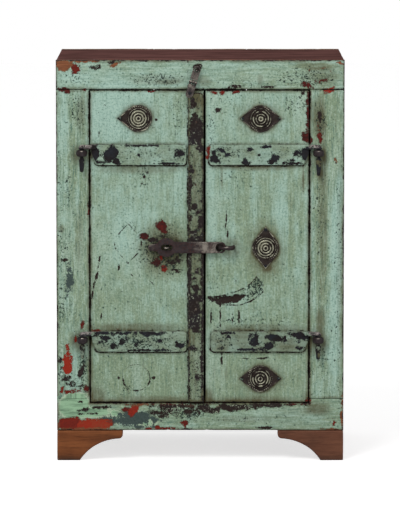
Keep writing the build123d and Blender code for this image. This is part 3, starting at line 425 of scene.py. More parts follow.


# where the coat has gone, with a few spots of painted shade, seen from the front: x, z, width, height,
# then the lean in degrees if it leans, and for the red undercoat how bright it is
coatLoss = {
    "dark": {
        "railSmear": (-143, 550, 12.5, 5.5), "railPitsLeft": (-123, 557, 8.5, 3.5),
        "doorGapCorner": (50, 524, 16.5, 3.5), "doorGapSpecks": (94, 523, 19.5, 3),
        "doorChipRight": (25, 492, 9, 9, 35), "stileSpeckHigh": (166, 480, 5.5, 21),
        "strapLip": (143, 515, 5.5, 5.5), "stileLowSpecks": (-187, 116, 12.5, 7, 10),
        "stileLowEdge": (-166, 124, 5.5, 22.5, -18), "stileLowEdgeTwo": (-167, 104, 5.5, 8.5, -30),
        "stileDarkRed": (-188, 282, 6.5, 4), "stilePitLow": (-195, 141, 4.5, 7),
        "haspPitsLeft": (-67, 310, 9.5, 5.5, 20), "haspPitsRight": (-31, 281, 14, 7),
        "haspPitsLow": (-40, 278, 11, 7), "dashUnderHasp": (-33, 268, 14, 2.5),
        "dashUnderHaspTwo": (-32, 265, 8.5, 2), "dashLow": (-94, 260, 8.5, 2, -48),
        "dashLower": (-67, 250, 7, 1.5, -40), "dashLeft": (-113, 272, 2, 8.5),
        "scratchTop": (-140, 283, 2.5, 11, -14), "scratchUpper": (-142, 273, 2, 8.5, -16),
        "scratchMiddle": (-144, 260, 3, 12.5, -14), "scratchLow": (-148, 246, 2, 11, -8),
        "scratchEnd": (-150, 233, 2, 11, -8), "lineLow": (-138, 202, 2, 11, -6),
        "lineHigh": (-140, 454, 1.5, 17), "dentRow": (-77, 398, 4, 4),
        "dentRowTwo": (-73, 405, 3.5, 4, 20), "dentRowThree": (-81, 388, 3, 3),
        # the last two spots on this line are painted shade seen through the hasp's pivot hole and the latch's
        # eye
        "pivotHoleShade": (27.5, 300, 14, 13), "latchEyeShade": (-4.2, 549.5, 10, 10),
        "stripSeam": (-17.3, 300, 1.6, 434), "crackRight": (36, 337, 2, 31, -4),
        "crackRightLow": (38, 317, 2, 17, -3), "seamDotsOne": (15, 206, 2, 28),
        "seamDotsTwo": (28, 205, 2, 28), "seamDotsThree": (54, 205, 2.5, 25),
        "seamDotsFour": (45, 198, 2, 17), "dashRow": (63, 144, 9.5, 2), "dashRowTwo": (83, 144, 12.5, 2),
        "dashRowThree": (94, 145, 5.5, 2), "lineRightLow": (30, 143, 2, 22.5),
        "railUnderDoorOne": (-42, 76, 50, 5), "railUnderDoorTwo": (-62, 67, 18, 6),
        "railUnderDoorThree": (16, 72, 38, 12, 3), "railUnderDoorRun": (50, 75, 56, 9, 4),
        "railUnderDoorFour": (55, 76, 38, 5, 3), "railUnderDoorFive": (100, 78, 64, 5.5),
        "railPitsMiddle": (-16, 69, 16, 6), "railFootDark": (92, 46, 19.5, 3),
        "railLowMid": (-20, 44, 16.5, 2), "patchStreakOne": (-161, 72, 16.5, 5, 6),
        "patchStreakTwo": (-156, 66, 25, 2.5, 4), "patchStreakThree": (-168, 83, 12.5, 2),
        "patchStreakFour": (-140, 75, 22.5, 4),
    },
    "red": {
        "cornerChip": (-173, 547, 10.5, 14, 0, 0.35), "jointLeft": (-188, 519, 26.5, 6, -4, 0.12),
        "jointInner": (-159, 519, 7, 4, 0, 0.25), "railRightOne": (169, 531, 12.5, 6.5, 10, 0.2),
        "railRightTwo": (148, 525, 12.5, 7, -20, 0.15), "railRightThree": (179, 519, 12, 6.5, 20, 0.8),
        "doorTopOne": (20, 515, 8, 5, 0, 0.42), "doorTopTwo": (31, 515, 9, 8, 0, 0.42),
        "doorTopThree": (49, 516, 8, 4, 10, 0.3), "doorTopLeft": (-67, 517, 12.5, 2.5, 0, 0.3),
        "doorRightEdge": (149.8, 488, 5.5, 62, -1.5, 0.08),
        "doorRightCorner": (147, 451, 14, 15.5, 35, 0.1), "stileRightChip": (166, 454, 6, 14, 0, 0.25),
        "stileGapChip": (-155, 349, 4.5, 12.5, 0, 0.25), "stileEdgeChip": (-165, 189, 5, 11, -10, 0.3),
        "stileRedMain": (-185, 135, 13, 24, 0, 1), "stileRedTail": (-185, 155, 5, 17, 0, 0.85),
        "stileRedFoot": (-187, 127, 8.5, 12.5, 0, 1), "eyeRed": (-174, 171, 4, 7.5, 0, 0.6),
        "jointLowLeft": (-182, 97, 29, 5, 4, 0.4), "jointLowLeftTwo": (-192, 100, 5.5, 7, 0, 0.55),
        "doorCornerChip": (-159, 101, 9, 9, 40, 0.15), "haspChipTop": (-54, 329, 16, 11, 5, 0.12),
        "haspChipTopLow": (-51, 324, 8, 10, 0, 0.14), "haspChipLeft": (-79, 316, 11, 9, 10, 0.05),
        "haspChipLow": (-62, 279, 13, 13, -30, 0), "haspChipBright": (-50, 270, 7, 9, 0, 0.55),
        "haspChipTiny": (-54, 285, 3.5, 7, 0, 0.6), "railRedPatch": (-94, 72, 12, 17, -25, 0.8),
        "railRedLeft": (-104, 72, 10, 6, 15, 0.25), "railOrange": (-146, 51, 46, 16, 2, 1.4),
        "railOrangeMiddle": (-164, 51, 36, 17, 0, 1.2), "railOrangeLeft": (-182, 52, 40, 18, 3, 0.5),
        "railBrownTop": (-40, 77, 50, 6, 0, 0.16), "railBrownSpot": (-21, 52, 9, 8.5, -10, 0.3),
        "railBottomLine": (-53, 45, 44.5, 3, 0, 0.4), "railBottomBlob": (-60, 47, 7, 5.5, 0, 0.55),
        "railCornerRed": (187, 53, 4.5, 7.5, -15, 0.45), "doorLowCorner": (151, 85, 7, 5.5, 0, 0.3),
        "sillRight": (128, 79, 36, 3.5, 2, 0.12), "strapEndRed": (11, 433, 6, 18, 0, 0.6),
        "strapTopLine": (-145, 183, 16.5, 2.5, 0, 0.5), "railFlecks": (-162, 519, 11, 3, 0, 0.2),
    },
    "bare": {
        "topCorner": (-190, 554, 25, 19, 4), "topCornerRun": (-162, 560, 61, 4.5, 2),
        "bottomCorner": (-199, 47, 6, 14), "bottomEdge": (-162, 44, 69.5, 4.5),
        "rightFootEdge": (198, 62, 3.5, 47.5), "rightBottom": (186, 43, 36, 3.5, -5),
        "orangeSpot": (-117, 555, 12.5, 5.5, 10), "topRightEdge": (192, 557, 16.5, 5.5, -20),
    },
    "pale": {
        "patchMain": (-176, 77, 44, 38, 4), "patchRight": (-151, 67, 47.5, 17, 3),
        "patchTail": (-126, 68, 39, 8.5, -14), "patchHigh": (-165, 90, 18, 12.5),
        "flakeTee": (-115, 58, 4, 14), "flakeLow": (-174, 47, 15, 3.5, 3),
        "flakeCorner": (-193, 45, 9, 2.5), "flakeLowRight": (-138, 45, 12, 2.5, -8),
        "flakeSill": (-108, 76, 8.5, 4, -30), "tealPatch": (-70, 52, 19.5, 8.5),
    },
    "slate": {
        "stileSpot": (-182, 250, 10.5, 35, -2), "stileSpotTop": (-183, 266, 4.5, 7),
        "railSlate": (-92, 60, 38, 22), "railSlateLeft": (-118, 56, 34, 11, -4),
        "railSlateLow": (-84, 48, 30.5, 5), "railSlateFleck": (-170, 51, 14, 4),
        "railSlateRight": (-72, 60, 26, 7, -10), "railSlateHigh": (-112, 64, 14, 6, 20),
    },
    "strap": {
        # the lines along the straps' lower edges are painted shadow as well as lost paint
        "upperLeftRoot": (-148, 432, 18, 24, -12), "upperLeftSlash": (-124, 431, 18, 21, -35),
        "upperLeftFoot": (-141, 419, 12.5, 5.5), "upperLeftEnd": (-27, 433, 14, 12.5),
        "upperLeftDrip": (-116, 419, 8.5, 8.5), "upperLeftShadowLine": (-42, 417, 30.5, 3),
        "upperLeftCrest": (-81, 442, 36, 3), "upperRightEnd": (20, 426, 11, 17, 20),
        "upperRightBit": (30, 435, 9.5, 7), "upperRightBitTwo": (38, 430, 7, 5.5),
        "upperRightBitThree": (24, 421, 9.5, 7), "upperRightSmall": (69, 436, 8.5, 7),
        "upperRightCrest": (91, 440, 19.5, 4), "upperRightFoot": (63, 419, 8.5, 10),
        "upperRightMark": (104, 424, 15.5, 11, 30), "upperRightMarkTwo": (100, 418, 9.5, 7),
        "upperRightRoot": (148, 431, 20, 24, 14), "upperRightRootTwo": (136, 431, 14, 7),
        "upperRightDrip": (129, 417, 25, 4), "upperRightBitFour": (128, 422, 7, 5.5),
        "lowerLeftBrow": (-129, 180, 42, 5.5), "lowerLeftMark": (-134, 174, 12.5, 8.5),
        "lowerLeftDot": (-140, 168, 4, 4), "lowerLeftMiddle": (-121, 162, 12.5, 7),
        "lowerLeftBit": (-110, 167, 5.5, 7), "lowerLeftBrowTwo": (-70, 180, 42, 5.5),
        "lowerLeftSpot": (-104, 171, 8.5, 7), "lowerLeftSpotTwo": (-88, 163, 8.5, 7),
        "lowerLeftSpotThree": (-72, 178, 9.5, 7), "lowerLeftSpotFour": (-55, 169, 7, 5.5),
        "lowerLeftEnd": (-27, 163, 15.5, 7), "lowerLeftShadowLine": (-70, 156, 55.5, 3),
        "lowerRightMark": (76, 171, 15.5, 17), "lowerRightBar": (105, 173, 28, 10, -10),
        "lowerRightWedge": (94, 161, 21, 11, 25), "lowerRightShadowLine": (70, 157, 25, 4),
        "lowerRightRoot": (140, 176, 28, 8.5, -8), "lowerRightFoot": (139, 159, 14, 5.5),
        "lowerRightBit": (29, 159, 8.5, 4), "lowerRightBitTwo": (39, 175, 7, 4),
        "lowerRightCrest": (36, 180, 22.5, 3), "lowerRightShadowLineTwo": (57, 157, 12.5, 3),
    },
    "strip": {
        "headLeft": (-10, 499, 8.5, 14), "upperMain": (-7, 466, 21, 39),
        "upperRight": (0, 442, 8.5, 19.5), "upperLow": (-12, 450, 8.5, 14),
        "leftSpot": (-13, 410, 6.5, 12.5), "leftRun": (-14, 370, 5, 84), "midSpotOne": (-9, 360, 7, 8.5),
        "midSpotTwo": (-3, 349, 7, 7), "midSpotThree": (-10, 355, 7, 5.5), "midMain": (1, 337, 9.5, 25),
        "midLow": (-8, 321, 14, 11), "aboveHasp": (-6, 311, 22.5, 11), "leftBand": (-15, 274, 5.5, 112),
        "rightBand": (4, 281, 6.5, 266), "lowSpot": (-4, 267, 5.5, 8.5), "lowSpotTwo": (-8, 257, 5.5, 4),
        "lowBand": (-5, 244, 15.5, 8.5), "bigPatch": (-8, 212, 19.5, 47.5),
        "bigPatchLow": (-5, 188, 12.5, 14), "bigPatchHigh": (-2, 229, 11, 11),
        "footBlotch": (-9, 159, 9.5, 8.5), "footRight": (3, 141, 5.5, 84), "footLeft": (-16, 124, 3, 70),
        "footBlotchTwo": (-5, 117, 7, 8.5),
    },
}

# soft stains, with some painted shade among the grime: x, z, width, height and strength, less than nothing
# where the coat stayed clean
softStains = {
    "grime": {
        "haspLeft": (-52, 297, 78, 81.5, 0.75), "haspRight": (43, 300, 36, 31, 0.6),
        "haspHalo": (-40, 299, 42, 36.5, 0.5), "rosetteUpperLeft": (-83, 480, 58, 52, 0.28),
        "rosetteUpperRight": (83, 480, 72, 52, 0.35), "rosetteMiddle": (91, 296, 60, 84, 0.6),
        "rosetteMiddleTail": (92, 272, 20, 16, 0.75), "rosetteLower": (83, 115, 76, 52, 0.5),
        # the bands under and above the straps are painted shade as well as grime
        "shadeAndGrimeUnderStrapUpperRight": (77, 411, 145, 10, 0.55),
        "shadeAndGrimeUnderStrapUpperLeft": (-84, 408, 139, 12.5, 0.45),
        "shadeAndGrimeAboveStrapLowerRight": (86, 187, 145, 12.5, 0.55),
        "shadeAndGrimeAboveStrapLowerLeft": (-91, 188, 145, 12.5, 0.6), "runUpperRight": (143, 393, 4, 42, 0.8),
        "runUpperLeftSide": (30, 396, 4, 36.5, 0.5), "eyeUpperLeft": (-168, 429, 26, 30, 0.6),
        "eyeUpperRight": (165, 427, 26, 32, 0.6), "eyeLowerLeft": (-168, 168, 28, 34, 0.7),
        "eyeLowerRight": (165, 167, 30, 42, 0.75), "tailUpperRight": (165, 404, 11, 22.5, 0.6),
        "sillLeft": (-144, 91, 30.5, 31, 0.6), "sillMiddle": (-70, 86, 153, 12.5, 0.6),
        "sillRight": (77, 86, 145, 12.5, 0.5), "cornerLowRight": (9, 90, 22.5, 28, 0.7),
        "doorCornerRight": (150, 90, 16.5, 19.5, 0.4), "stripHead": (-6, 502, 28, 33.5, 0.8),
        "stripBody": (-6, 295, 28, 420.5, 0.44), "railMiddle": (-56, 533, 83.5, 17, 0.35),
        "railMiddleDark": (-42, 530, 40, 10, 0.4), "railUnderLatch": (6, 530, 22.5, 17, 0.4),
        "railStain": (83, 533, 9.5, 17, 0.6), "railRight": (169, 538, 55.5, 36.5, 0.4),
        "railGrainRight": (161, 552, 69.5, 11, 0.5), "stileRightTop": (164, 482, 22.5, 64.5, 0.7),
        "stileRightBand": (170, 365, 16, 294, 0.5), "stileRightLow": (168, 197, 16.5, 42, 0.7),
        "stileLeftTop": (-165, 488, 16.5, 61.5, 0.45), "stileLeftBand": (-168, 316, 12.5, 112, 0.3),
        "sillRailRight": (164, 73, 42, 22.5, 0.6), "sillRailShade": (55, 58, 97.5, 11, 0.35),
        "sillRailEnd": (140, 60, 120, 36, 0.14), "jointRight": (180, 89, 36, 4, 0.5),
        "cupStain": (-193, 325, 11, 14, 0.5), "paintedOverJoint": (-177, 87, 44, 16, -0.9),
        "stileRightEdge": (195, 280, 12, 420, 0.25),
    },
    "olive": {
        "stileLeftMid": (-176, 435, 16.5, 168, 0.6), "stileLeftInner": (-162, 379, 12.5, 322, 0.5),
        "stileLeftLow": (-170, 267, 16.5, 168, 0.35), "stileRightCore": (168, 351, 18, 350, 1),
        "stileRightInner": (160, 435, 11, 154, 0.6), "stileRightUpper": (178, 470, 40, 110, 0.9),
        "stileRightRust": (186, 410, 14, 84, 0.5), "doorRightBand": (59, 379, 28, 210, 0.45),
        "doorRightSecond": (91, 344, 19.5, 140, 0.35), "doorRightThird": (126, 358, 11, 266, 0.35),
        "doorRightFourth": (141, 393, 12.5, 224, 0.3), "doorLeftBand": (-143, 225, 12.5, 126, 0.35),
        "doorLeftLow": (-87, 115, 167, 98, 0.35), "doorLeftHigh": (-26, 491, 25, 70, 0.3),
        "doorRightLow": (77, 120, 153, 98, 0.3), "aroundHasp": (-45, 295, 83.5, 92.5, 0.5),
        "rosetteField": (94, 292, 78, 103.5, 0.5), "belowMiddle": (55, 260, 83.5, 56, 0.35),
        "railRightGrain": (164, 552, 69.5, 12.5, 0.7), "leftMint": (-115, 488, 83.5, 98, -0.45),
        "leftMintLow": (-101, 316, 64, 98, -0.4), "rightMint": (189, 295, 16.5, 252, -0.75),
        "rightEdgeMint": (15, 365, 16.5, 308, -0.35), "rightMintBand": (116, 316, 19.5, 154, -0.35),
        "rightMintLow": (11, 141, 14, 84, -0.4), "railMintLeft": (-175, 537, 42, 19.5, -0.3),
        "railRightAll": (128, 534, 190, 44, 0.26), "sillMint": (118, 63, 153, 22.5, -0.25),
        "stileLowMint": (-179, 115, 42, 84, -0.35), "stileRightLowMint": (185, 162, 22.5, 168, -0.4),
    },
    "brown": {
        "railUnderDoor": (20, 74, 120, 15, 1), "railUnderDoorLeft": (-80, 78, 100, 9, 0.9),
        "railUnderDoorRight": (80, 78, 60, 9, 0.9), "railTopRight": (172, 546, 50, 18, 0.8),
        "stileRightCore": (164, 478, 10, 70, 0.9), "stileRightRust": (188, 412, 9, 50, 0.9),
    },
    "flakes": {
        "railUnderDoor": (-10, 72, 150, 16, 1), "railUnderDoorTwo": (-60, 66, 70, 20, 0.95),
        "railMiddle": (-5, 60, 120, 22, 0.6), "haspLeft": (-62, 306, 40, 40, 1),
        "haspBelow": (-48, 277, 52, 28, 1.1), "haspAbove": (-40, 318, 40, 16, 0.6),
        "stileLeftFoot": (-180, 112, 36, 40, 0.95), "stileLeftFootRight": (-158, 130, 12, 70, 0.95),
        "stileLeftHigh": (-162, 490, 12, 60, 0.7), "stileRightHigh": (166, 478, 18, 54, 0.9),
        "railRight": (165, 540, 60, 24, 0.8), "railMiddleHigh": (-60, 534, 80, 16, 0.6),
        "doorRightEdge": (14, 470, 12, 70, 0.75), "scarEnd": (54, 252, 22, 22, 0.85),
        "stileRightMiddle": (166, 330, 12, 150, 0.5),
    },
    "pits": {
        "railMiddle": (-58, 533, 80, 22, 1), "railLeft": (-173, 534, 50, 28, 0.6),
        "railRight": (146, 536, 97.5, 33.5, 0.8), "railCentre": (55, 530, 97.5, 17, 0.5),
        "stileLeftHigh": (-170, 488, 28, 64.5, 0.8), "stileLeftRow": (-183, 379, 11, 61.5, 0.9),
        "stileLeftMiddle": (-184, 295, 25, 84, 0.5), "stileLeftLower": (-187, 218, 25, 56, 0.6),
        "stileLeftFoot": (-163, 127, 16.5, 61.5, 1.3), "stileLeftFootTwo": (-191, 124, 19.5, 36.5, 1.1),
        "stileRightHigh": (166, 477, 19.5, 61.5, 0.9), "stileRightMid": (164, 344, 16.5, 140, 0.6),
        "stileRightLow": (169, 134, 36, 84, 0.5), "doorRightCorner": (133, 499, 50, 39, 0.75),
        "doorRightEdge": (15, 466, 16.5, 75.5, 0.8), "doorRightTop": (34, 505, 55.5, 22.5, 0.5),
        "doorRightUpper": (55, 396, 69.5, 33.5, 0.35), "doorRightLower": (76, 194, 145, 25, 0.7),
        "doorRightMid": (22, 253, 28, 56, 0.5), "doorLeftRight": (-31, 488, 28, 75.5, 0.6),
        "doorLeftUpper": (-76, 398, 22.5, 36.5, 0.8), "haspField": (-51, 295, 80, 84, 1.3),
        "ghostTop": (-98, 331, 28, 14, 0.8), "sillPits": (-14, 65, 47.5, 19.5, 1.4),
        "sillPitsRight": (55, 56, 97.5, 17, 0.4), "doorLeftFoot": (-101, 101, 16.5, 25, 0.7),
        "stileRightEdge": (192, 250, 14, 420, 0.45), "stileLeftEdge": (-195, 300, 10, 420, 0.45),
        "strapUpperLeft": (-84, 429, 133.5, 31, 0.8), "strapUpperLeftEnd": (-28, 429, 22.5, 28, 0.9),
        "strapUpperRight": (41, 432, 58.5, 25, 1.2), "strapUpperRightEnd": (118, 429, 69.5, 28, 0.7),
        "strapLowerLeft": (-91, 169, 139, 31, 1.4), "strapLowerRight": (34, 169, 42, 28, 0.9),
        "strapLowerRightEnd": (125, 169, 55.5, 28, 0.7),
    },
}

ironPivot = (36.3, 300.25)  # the hasp's staple, in front view
haspScar = dict(  # worn by the hasp swinging round its staple, in degrees and millimetres
    start=-116, end=-44,
    radius=77, drift=-9.6,  # distance from the staple where it starts, and how that changes along it
    core=5.5, outside=13, inside=8,  # half of the gouge, and how far off its two outlines run
    depth=2.2,
)
strapSize = dict(
    height=29,
    root=152,  # how far from the middle the flat part of a strap begins
    corner=4.5, heel=9,  # radius of its corners, and of the lower outer one
    cut=5.5,  # how far that one is drawn in
)
hingePlaces = [("left", "upper"), ("right", "upper"), ("left", "lower"), ("right", "lower")]
rosettePlaces = [  # turn in degrees, which points are whole, how much brighter it is rubbed
    ("upper_left", 0, (-1,), 0.22),
    ("upper_right", 0, (-1, 1), 0.0),
    ("middle_right", 90, (-1, 1), 0.3),
    ("lower_right", 0, (-1, 1), 0.0),
]
rosetteLook = dict(
    radius=18.8, tip=29.4,  # of the plate, and out to its points
    rim=1.5, field=0.85,  # heights of the plate's rim and of what lies inside it
    fieldRings=(14.5, 9, 4),
    bossRadius=14.2, bossHeight=6.4,
    rings=3.7, ringHeight=1.0,
    beadRing=16.6, beadRadius=1.0, beads=36,
    spokes=112, bossSpokes=84,
)
ghosts = dict(  # outlines of two rosettes that fell off, with what is left of their nails
    eye=dict(x=-100, z=305, radius=18.5, tip=28, upright=True, clear=0.6),
    round=dict(x=-89, z=116.7, radius=18.8, tip=0, upright=False, clear=0.45),
)
nailHoles = dict(stub=(-113.5, 116.7, 1.8), lowHole=(-65, 116.7, 2.2), highHole=(-61, 477.6, 1.6))
frontLines = dict(head=519.5, sill=87, stile=154)  # the joints' two heights, and where the stiles begin
paintedOver = dict(x=-177, z=87)  # the joint that the newer paint fills
plainFace = -9  # no chip anywhere near
wholeCoat = dict(dark=plainFace, red=plainFace, bare=plainFace, pale=plainFace, slate=plainFace)
coatLook = dict(
    fittingDirtAndShade=0.5, fittingReach=5,  # grime and painted shade round the ironwork, and how far out it goes
    gapDirt=0.75, gapReach=4.5,  # the same along the edges of the boards
    bareBehind=1.8,  # how deep into a gap the paint goes
    mostFlakes=1.25,
    stripGrime=0.22, stripOlive=0.4, stripPits=0.8,  # what the meeting strip has more of
    olive=0.48, oliveAndShadeLow=0.32,  # everywhere, and more towards the bottom, partly as painted shade
)


def spotField(points, spots, seed):  # millimetres inside the nearest spot, and how bright that spot is
    field, bright = np.full(len(points), float(plainFace)), np.zeros(len(points))
    for number, (x, z, wide, high, *more) in enumerate(spots.values()):
        lean, warm = (*more, 0, 0)[:2]
        dx, dz = points[:, 0] - x, points[:, 2] - z
        near = np.flatnonzero((abs(dx) < max(wide, high)) & (abs(dz) < max(wide, high)))
        if not len(near):
            continue
        cos, sin = math.cos(math.radians(lean)), math.sin(math.radians(lean))
        along = (dx[near] * cos + dz[near] * sin) / (wide / 2)
        across = (dz[near] * cos - dx[near] * sin) / (high / 2)
        small = min(wide, high) / 2
        inside = (1 - np.hypot(along, across)) * small
        inside += ragged(points[near], max(2.5, small * 1.4), seed + number, 3) * min(small * 0.6, 3.5)
        inside *= 3.2 / min(small, 3.2)  # thin marks have steep edges
        better = inside > field[near]
        field[near[better]] = inside[better]
        bright[near[better]] = warm
    return field, bright


def softField(points, stains):
    total = np.zeros(len(points))
    for x, z, wide, high, strength in stains.values():
        reach = np.hypot((points[:, 0] - x) / (wide / 2), (points[:, 2] - z) / (high / 2))
        total += strength * ease(reach, 1.25, 0.35)
    return total


def scarField(points):
    # share of the way along the scar, distance from its middle, half its width, its broken
    # outlines, and whether a point lies between them
    dx, dz = points[:, 0] - ironPivot[0], points[:, 2] - ironPivot[1]
    angle = np.degrees(np.arctan2(dz, dx))
    share = (angle - haspScar["start"]) / (haspScar["end"] - haspScar["start"])
    off = np.hypot(dx, dz) - haspScar["radius"] - haspScar["drift"] * share
    half = haspScar["core"] * ease(share, -0.05, 0.4) * ease(share, 0.75, 0.5) + 0.01
    outside = haspScar["outside"] * ease(share, -0.15, 0.75) * ease(share, 1.04, 0.9)
    inside = haspScar["inside"] * ease(share, -0.1, 0.5)
    outline = 0.65 - np.minimum(np.abs(off - outside), np.abs(off + inside)) + 0.7 * ragged(points, 6, 42, 2)
    between = (off < outside) & (off > -inside)
    return share, off - (outside - inside) / 2, half, outline, between


def eyeRadius(angle, radius, tips):  # outline of a round plate drawn out to points at the tips given
    reach = np.full(len(angle), float(radius))
    for side, tip in tips:
        turned = np.abs((angle - (0 if side > 0 else math.pi) + math.pi) % (2 * math.pi) - math.pi)
        meet = math.acos(radius / tip)
        flank = radius / np.cos(np.minimum(turned, meet) - meet)
        reach = np.where(turned < meet, flank, reach)
    return reach


def ghostField(points):  # thin broken lines
    field = np.full(len(points), float(plainFace))
    for seed, ghost in enumerate(ghosts.values()):
        dx, dz = points[:, 0] - ghost["x"], points[:, 2] - ghost["z"]
        if ghost["upright"]:
            dx, dz = dz, -dx
        tips = [(1, ghost["tip"]), (-1, ghost["tip"])] if ghost["tip"] else []
        edge = eyeRadius(np.arctan2(dz, dx), ghost["radius"], tips)
        off = np.abs(np.hypot(dx, dz) - edge + ragged(points, 9, 60 + seed, 2) * 0.8)
        field = np.maximum(field, ghost["clear"] - off + ragged(points, 7, 70 + seed, 2) * 0.75)
    for x, z, radius in nailHoles.values():
        field = np.maximum(field, radius - np.hypot(points[:, 0] - x, points[:, 2] - z))
    return field


def strapShadow(points):  # 1 under the lower edge of a strap, nothing above it
    tops = np.array([boxOf(f"hinge_strap_{level}_left")[1][2] for level in ("upper", "lower")])
    drop = (tops - strapSize["height"] / 2)[:, None] - points[None, :, 2]
    return np.clip(np.max(np.where(drop < 30, drop, -1), axis=0) / 12, 0, 1)


def outsideBox(points, low, high, corner):  # how far outside a rounded rectangle on the front
    dx = np.abs(points[:, 0] - (low[0] + high[0]) / 2) - (high[0] - low[0]) / 2 + corner
    dz = np.abs(points[:, 2] - (low[2] + high[2]) / 2) - (high[2] - low[2]) / 2 + corner
    return np.hypot(np.maximum(dx, 0), np.maximum(dz, 0)) + np.minimum(np.maximum(dx, dz), 0) - corner


def heelCut(points, top):  # how far a strap's lower outer corner is drawn in
    outside = ease(np.abs(points[:, 0]), strapSize["root"] - 14, strapSize["root"])
    return strapSize["cut"] * ease(top - points[:, 2], 10, 27) * outside


def besideFittings(points):  # distance to the nearest strap, and to the nearest strap or rosette
    gap = np.full(len(points), 99.0)
    for side, level in hingePlaces:
        low, high = boxOf(f"hinge_strap_{level}_{side}")
        low[2] = high[2] - strapSize["height"]
        reach = strapSize["root"]
        low[0], high[0] = max(low[0], -reach), min(high[0], reach)
        moved = points + np.outer(np.sign(points[:, 0]) * heelCut(points, high[2]), (1, 0, 0))
        heel = (np.abs(points[:, 0]) > 100) & (points[:, 2] < high[2] - 15)
        corner = np.where(heel, strapSize["heel"], strapSize["corner"])
        gap = np.minimum(gap, outsideBox(moved, low, high, corner))
    strapGap = gap
    for key, turn, tips, rubbed in rosettePlaces:
        low, high = boxOf(f"rosette_boss_{key}")
        dx, dz = points[:, 0] - (low[0] + high[0]) / 2, points[:, 2] - (low[2] + high[2]) / 2
        if turn:
            dx, dz = dz, -dx
        reach = eyeRadius(np.arctan2(dz, dx), 19.0, [(tip, rosetteLook["tip"]) for tip in tips])
        gap = np.minimum(gap, np.hypot(dx, dz) - reach)
    return strapGap, gap


def atJoints(points, level):  # 1 beside the line where a stile meets a rail
    outside = ease(np.abs(points[:, 0]), frontLines["stile"] - 1, frontLines["stile"] + 1)
    return outside * ease(np.abs(points[:, 2] - level), 6, 2)


def frontWear(points, depth, edge, rim, extra=None):
    # everything that has happened to the painted face at these points
    dark = spotField(points, coatLoss["dark"], 100)[0]
    red, warm = spotField(points, coatLoss["red"], 300)
    bare = spotField(points, coatLoss["bare"], 500)[0]
    pale = spotField(points, coatLoss["pale"], 600)[0]
    slate = spotField(points, coatLoss["slate"], 700)[0]
    grime = softField(points, softStains["grime"])
    olive = softField(points, softStains["olive"])
    pits = 0.1 + 1.15 * softField(points, softStains["pits"])
    flaking = softField(points, softStains["flakes"])
    flaking = 5.2 * np.minimum(flaking, coatLook["mostFlakes"])
    dark = np.maximum(dark, flaking - 6.5 + 1.6 * ragged(points, 11, 820))
    red = np.maximum(red, flaking - 8.5 + 2.5 * ragged(points, 14, 830))
    brown = softField(points, softStains["brown"])
    bare = np.maximum(bare, -6.5 + 6.2 * np.minimum(brown, 1.2) + 2.2 * ragged(points, 9, 850))
    strapGap, gap = besideFittings(points)
    # a painted shadow line along each strap's lower edge, drawn as lost paint
    below = ease(strapShadow(points), 0.6, 1)
    near = 0.1 + 1.1 * below - np.abs(strapGap - 0.5) + 0.4 * ragged(points, 12, 840)
    dark = np.maximum(dark, np.where(strapGap < 4, 3 * near, plainFace))
    # grime and painted shade round the straps and rosettes
    reach = coatLook["fittingReach"] + 2 * ragged(points, 15, 841)
    grime = grime + coatLook["fittingDirtAndShade"] * ease(gap, reach, 0)
    if extra:
        dark = np.maximum(dark, spotField(points, coatLoss[extra], 800)[0])
        dark = np.maximum(dark, -2.8 + 2.3 * ragged(points, (9, 9, 26), 810))
        grime = grime + coatLook["stripGrime"]
        olive = olive + coatLook["stripOlive"]
        pits = pits + coatLook["stripPits"]
    share, off, half, outline, between = scarField(points)
    inScar = (share > 0) & (share < 1)
    core = 1.5 * (half - np.abs(off)) + 1.2 * ragged(points, 5, 40, 2)
    core = core + 2 * ragged(points, 3, 41, 2) * ease(share, 0.4, 0.65)
    core = np.where(inScar, core - 1.8 * ease(share, 0.45, 0.7), plainFace)
    outline = np.where(inScar, outline, plainFace)
    dark = np.maximum.reduce([dark, core, 3 * outline, 3 * ghostField(points)])
    pits = pits + 1.8 * (inScar & between) * ease(share, 0.45, 0.8)
    hollow = np.maximum(0, 1 - (off / (half + 0.8)) ** 2)
    gouge = np.where(inScar, haspScar["depth"] * hollow * ease(half, 0.5, 4), 0)
    # the edges: dirt in the gaps, paint chipped off the corners, bare wood round the sides
    upper, lower = atJoints(points, frontLines["head"]), atJoints(points, frontLines["sill"])
    outer, meeting = ease(np.abs(points[:, 0]), 193, 197), ease(np.abs(points[:, 0] - 8), 5, 1)
    chipped = rim + ragged(points, 14, 50) * 0.9 + ragged(points, 4, 51, 2) * 0.5 - edge
    chipped += outer * (0.5 + 0.8 * ragged(points, 9, 54)) - 0.5 * upper - 1.2 * lower - 0.7 * meeting
    dark = np.maximum(dark, 2.2 * chipped)
    cleaner = 1 - 0.4 * upper - 0.9 * lower - 0.6 * meeting
    reach = coatLook["gapReach"] + 2.5 * ragged(points, 20, 52, 2)
    grime = grime + coatLook["gapDirt"] * ease(edge, reach, 0) * cleaner
    bare = np.maximum(bare, 2 * (depth - coatLook["bareBehind"] + ragged(points, 6, 53) * 0.9))
    # olive tint more towards the bottom, partly painted shade
    olive = olive + coatLook["olive"] + coatLook["oliveAndShadeLow"] * ease(points[:, 2], 480, 110)
    return dict(dark=dark, red=red, bare=bare, pale=pale, slate=slate, warm=warm, grime=np.clip(grime, 0, 1),
                olive=olive, pits=np.maximum(pits, 0), gouge=gouge)


def storeWear(mesh, wear):
    store(mesh, "loss", wear["dark"], wear["red"], wear["pale"], wear["slate"])
    store(mesh, "stain", wear["bare"], wear["warm"], wear["grime"], wear["olive"])
    store(mesh, "marks", wear["pits"], wear.get("rubbed", 0))


# boards: a fine grid on both faces, rounded corners and walls between

placings = dict(front=(0, 2, 1), side=(1, 2, 0), top=(0, 1, 2))  # a board's own two axes and its depth


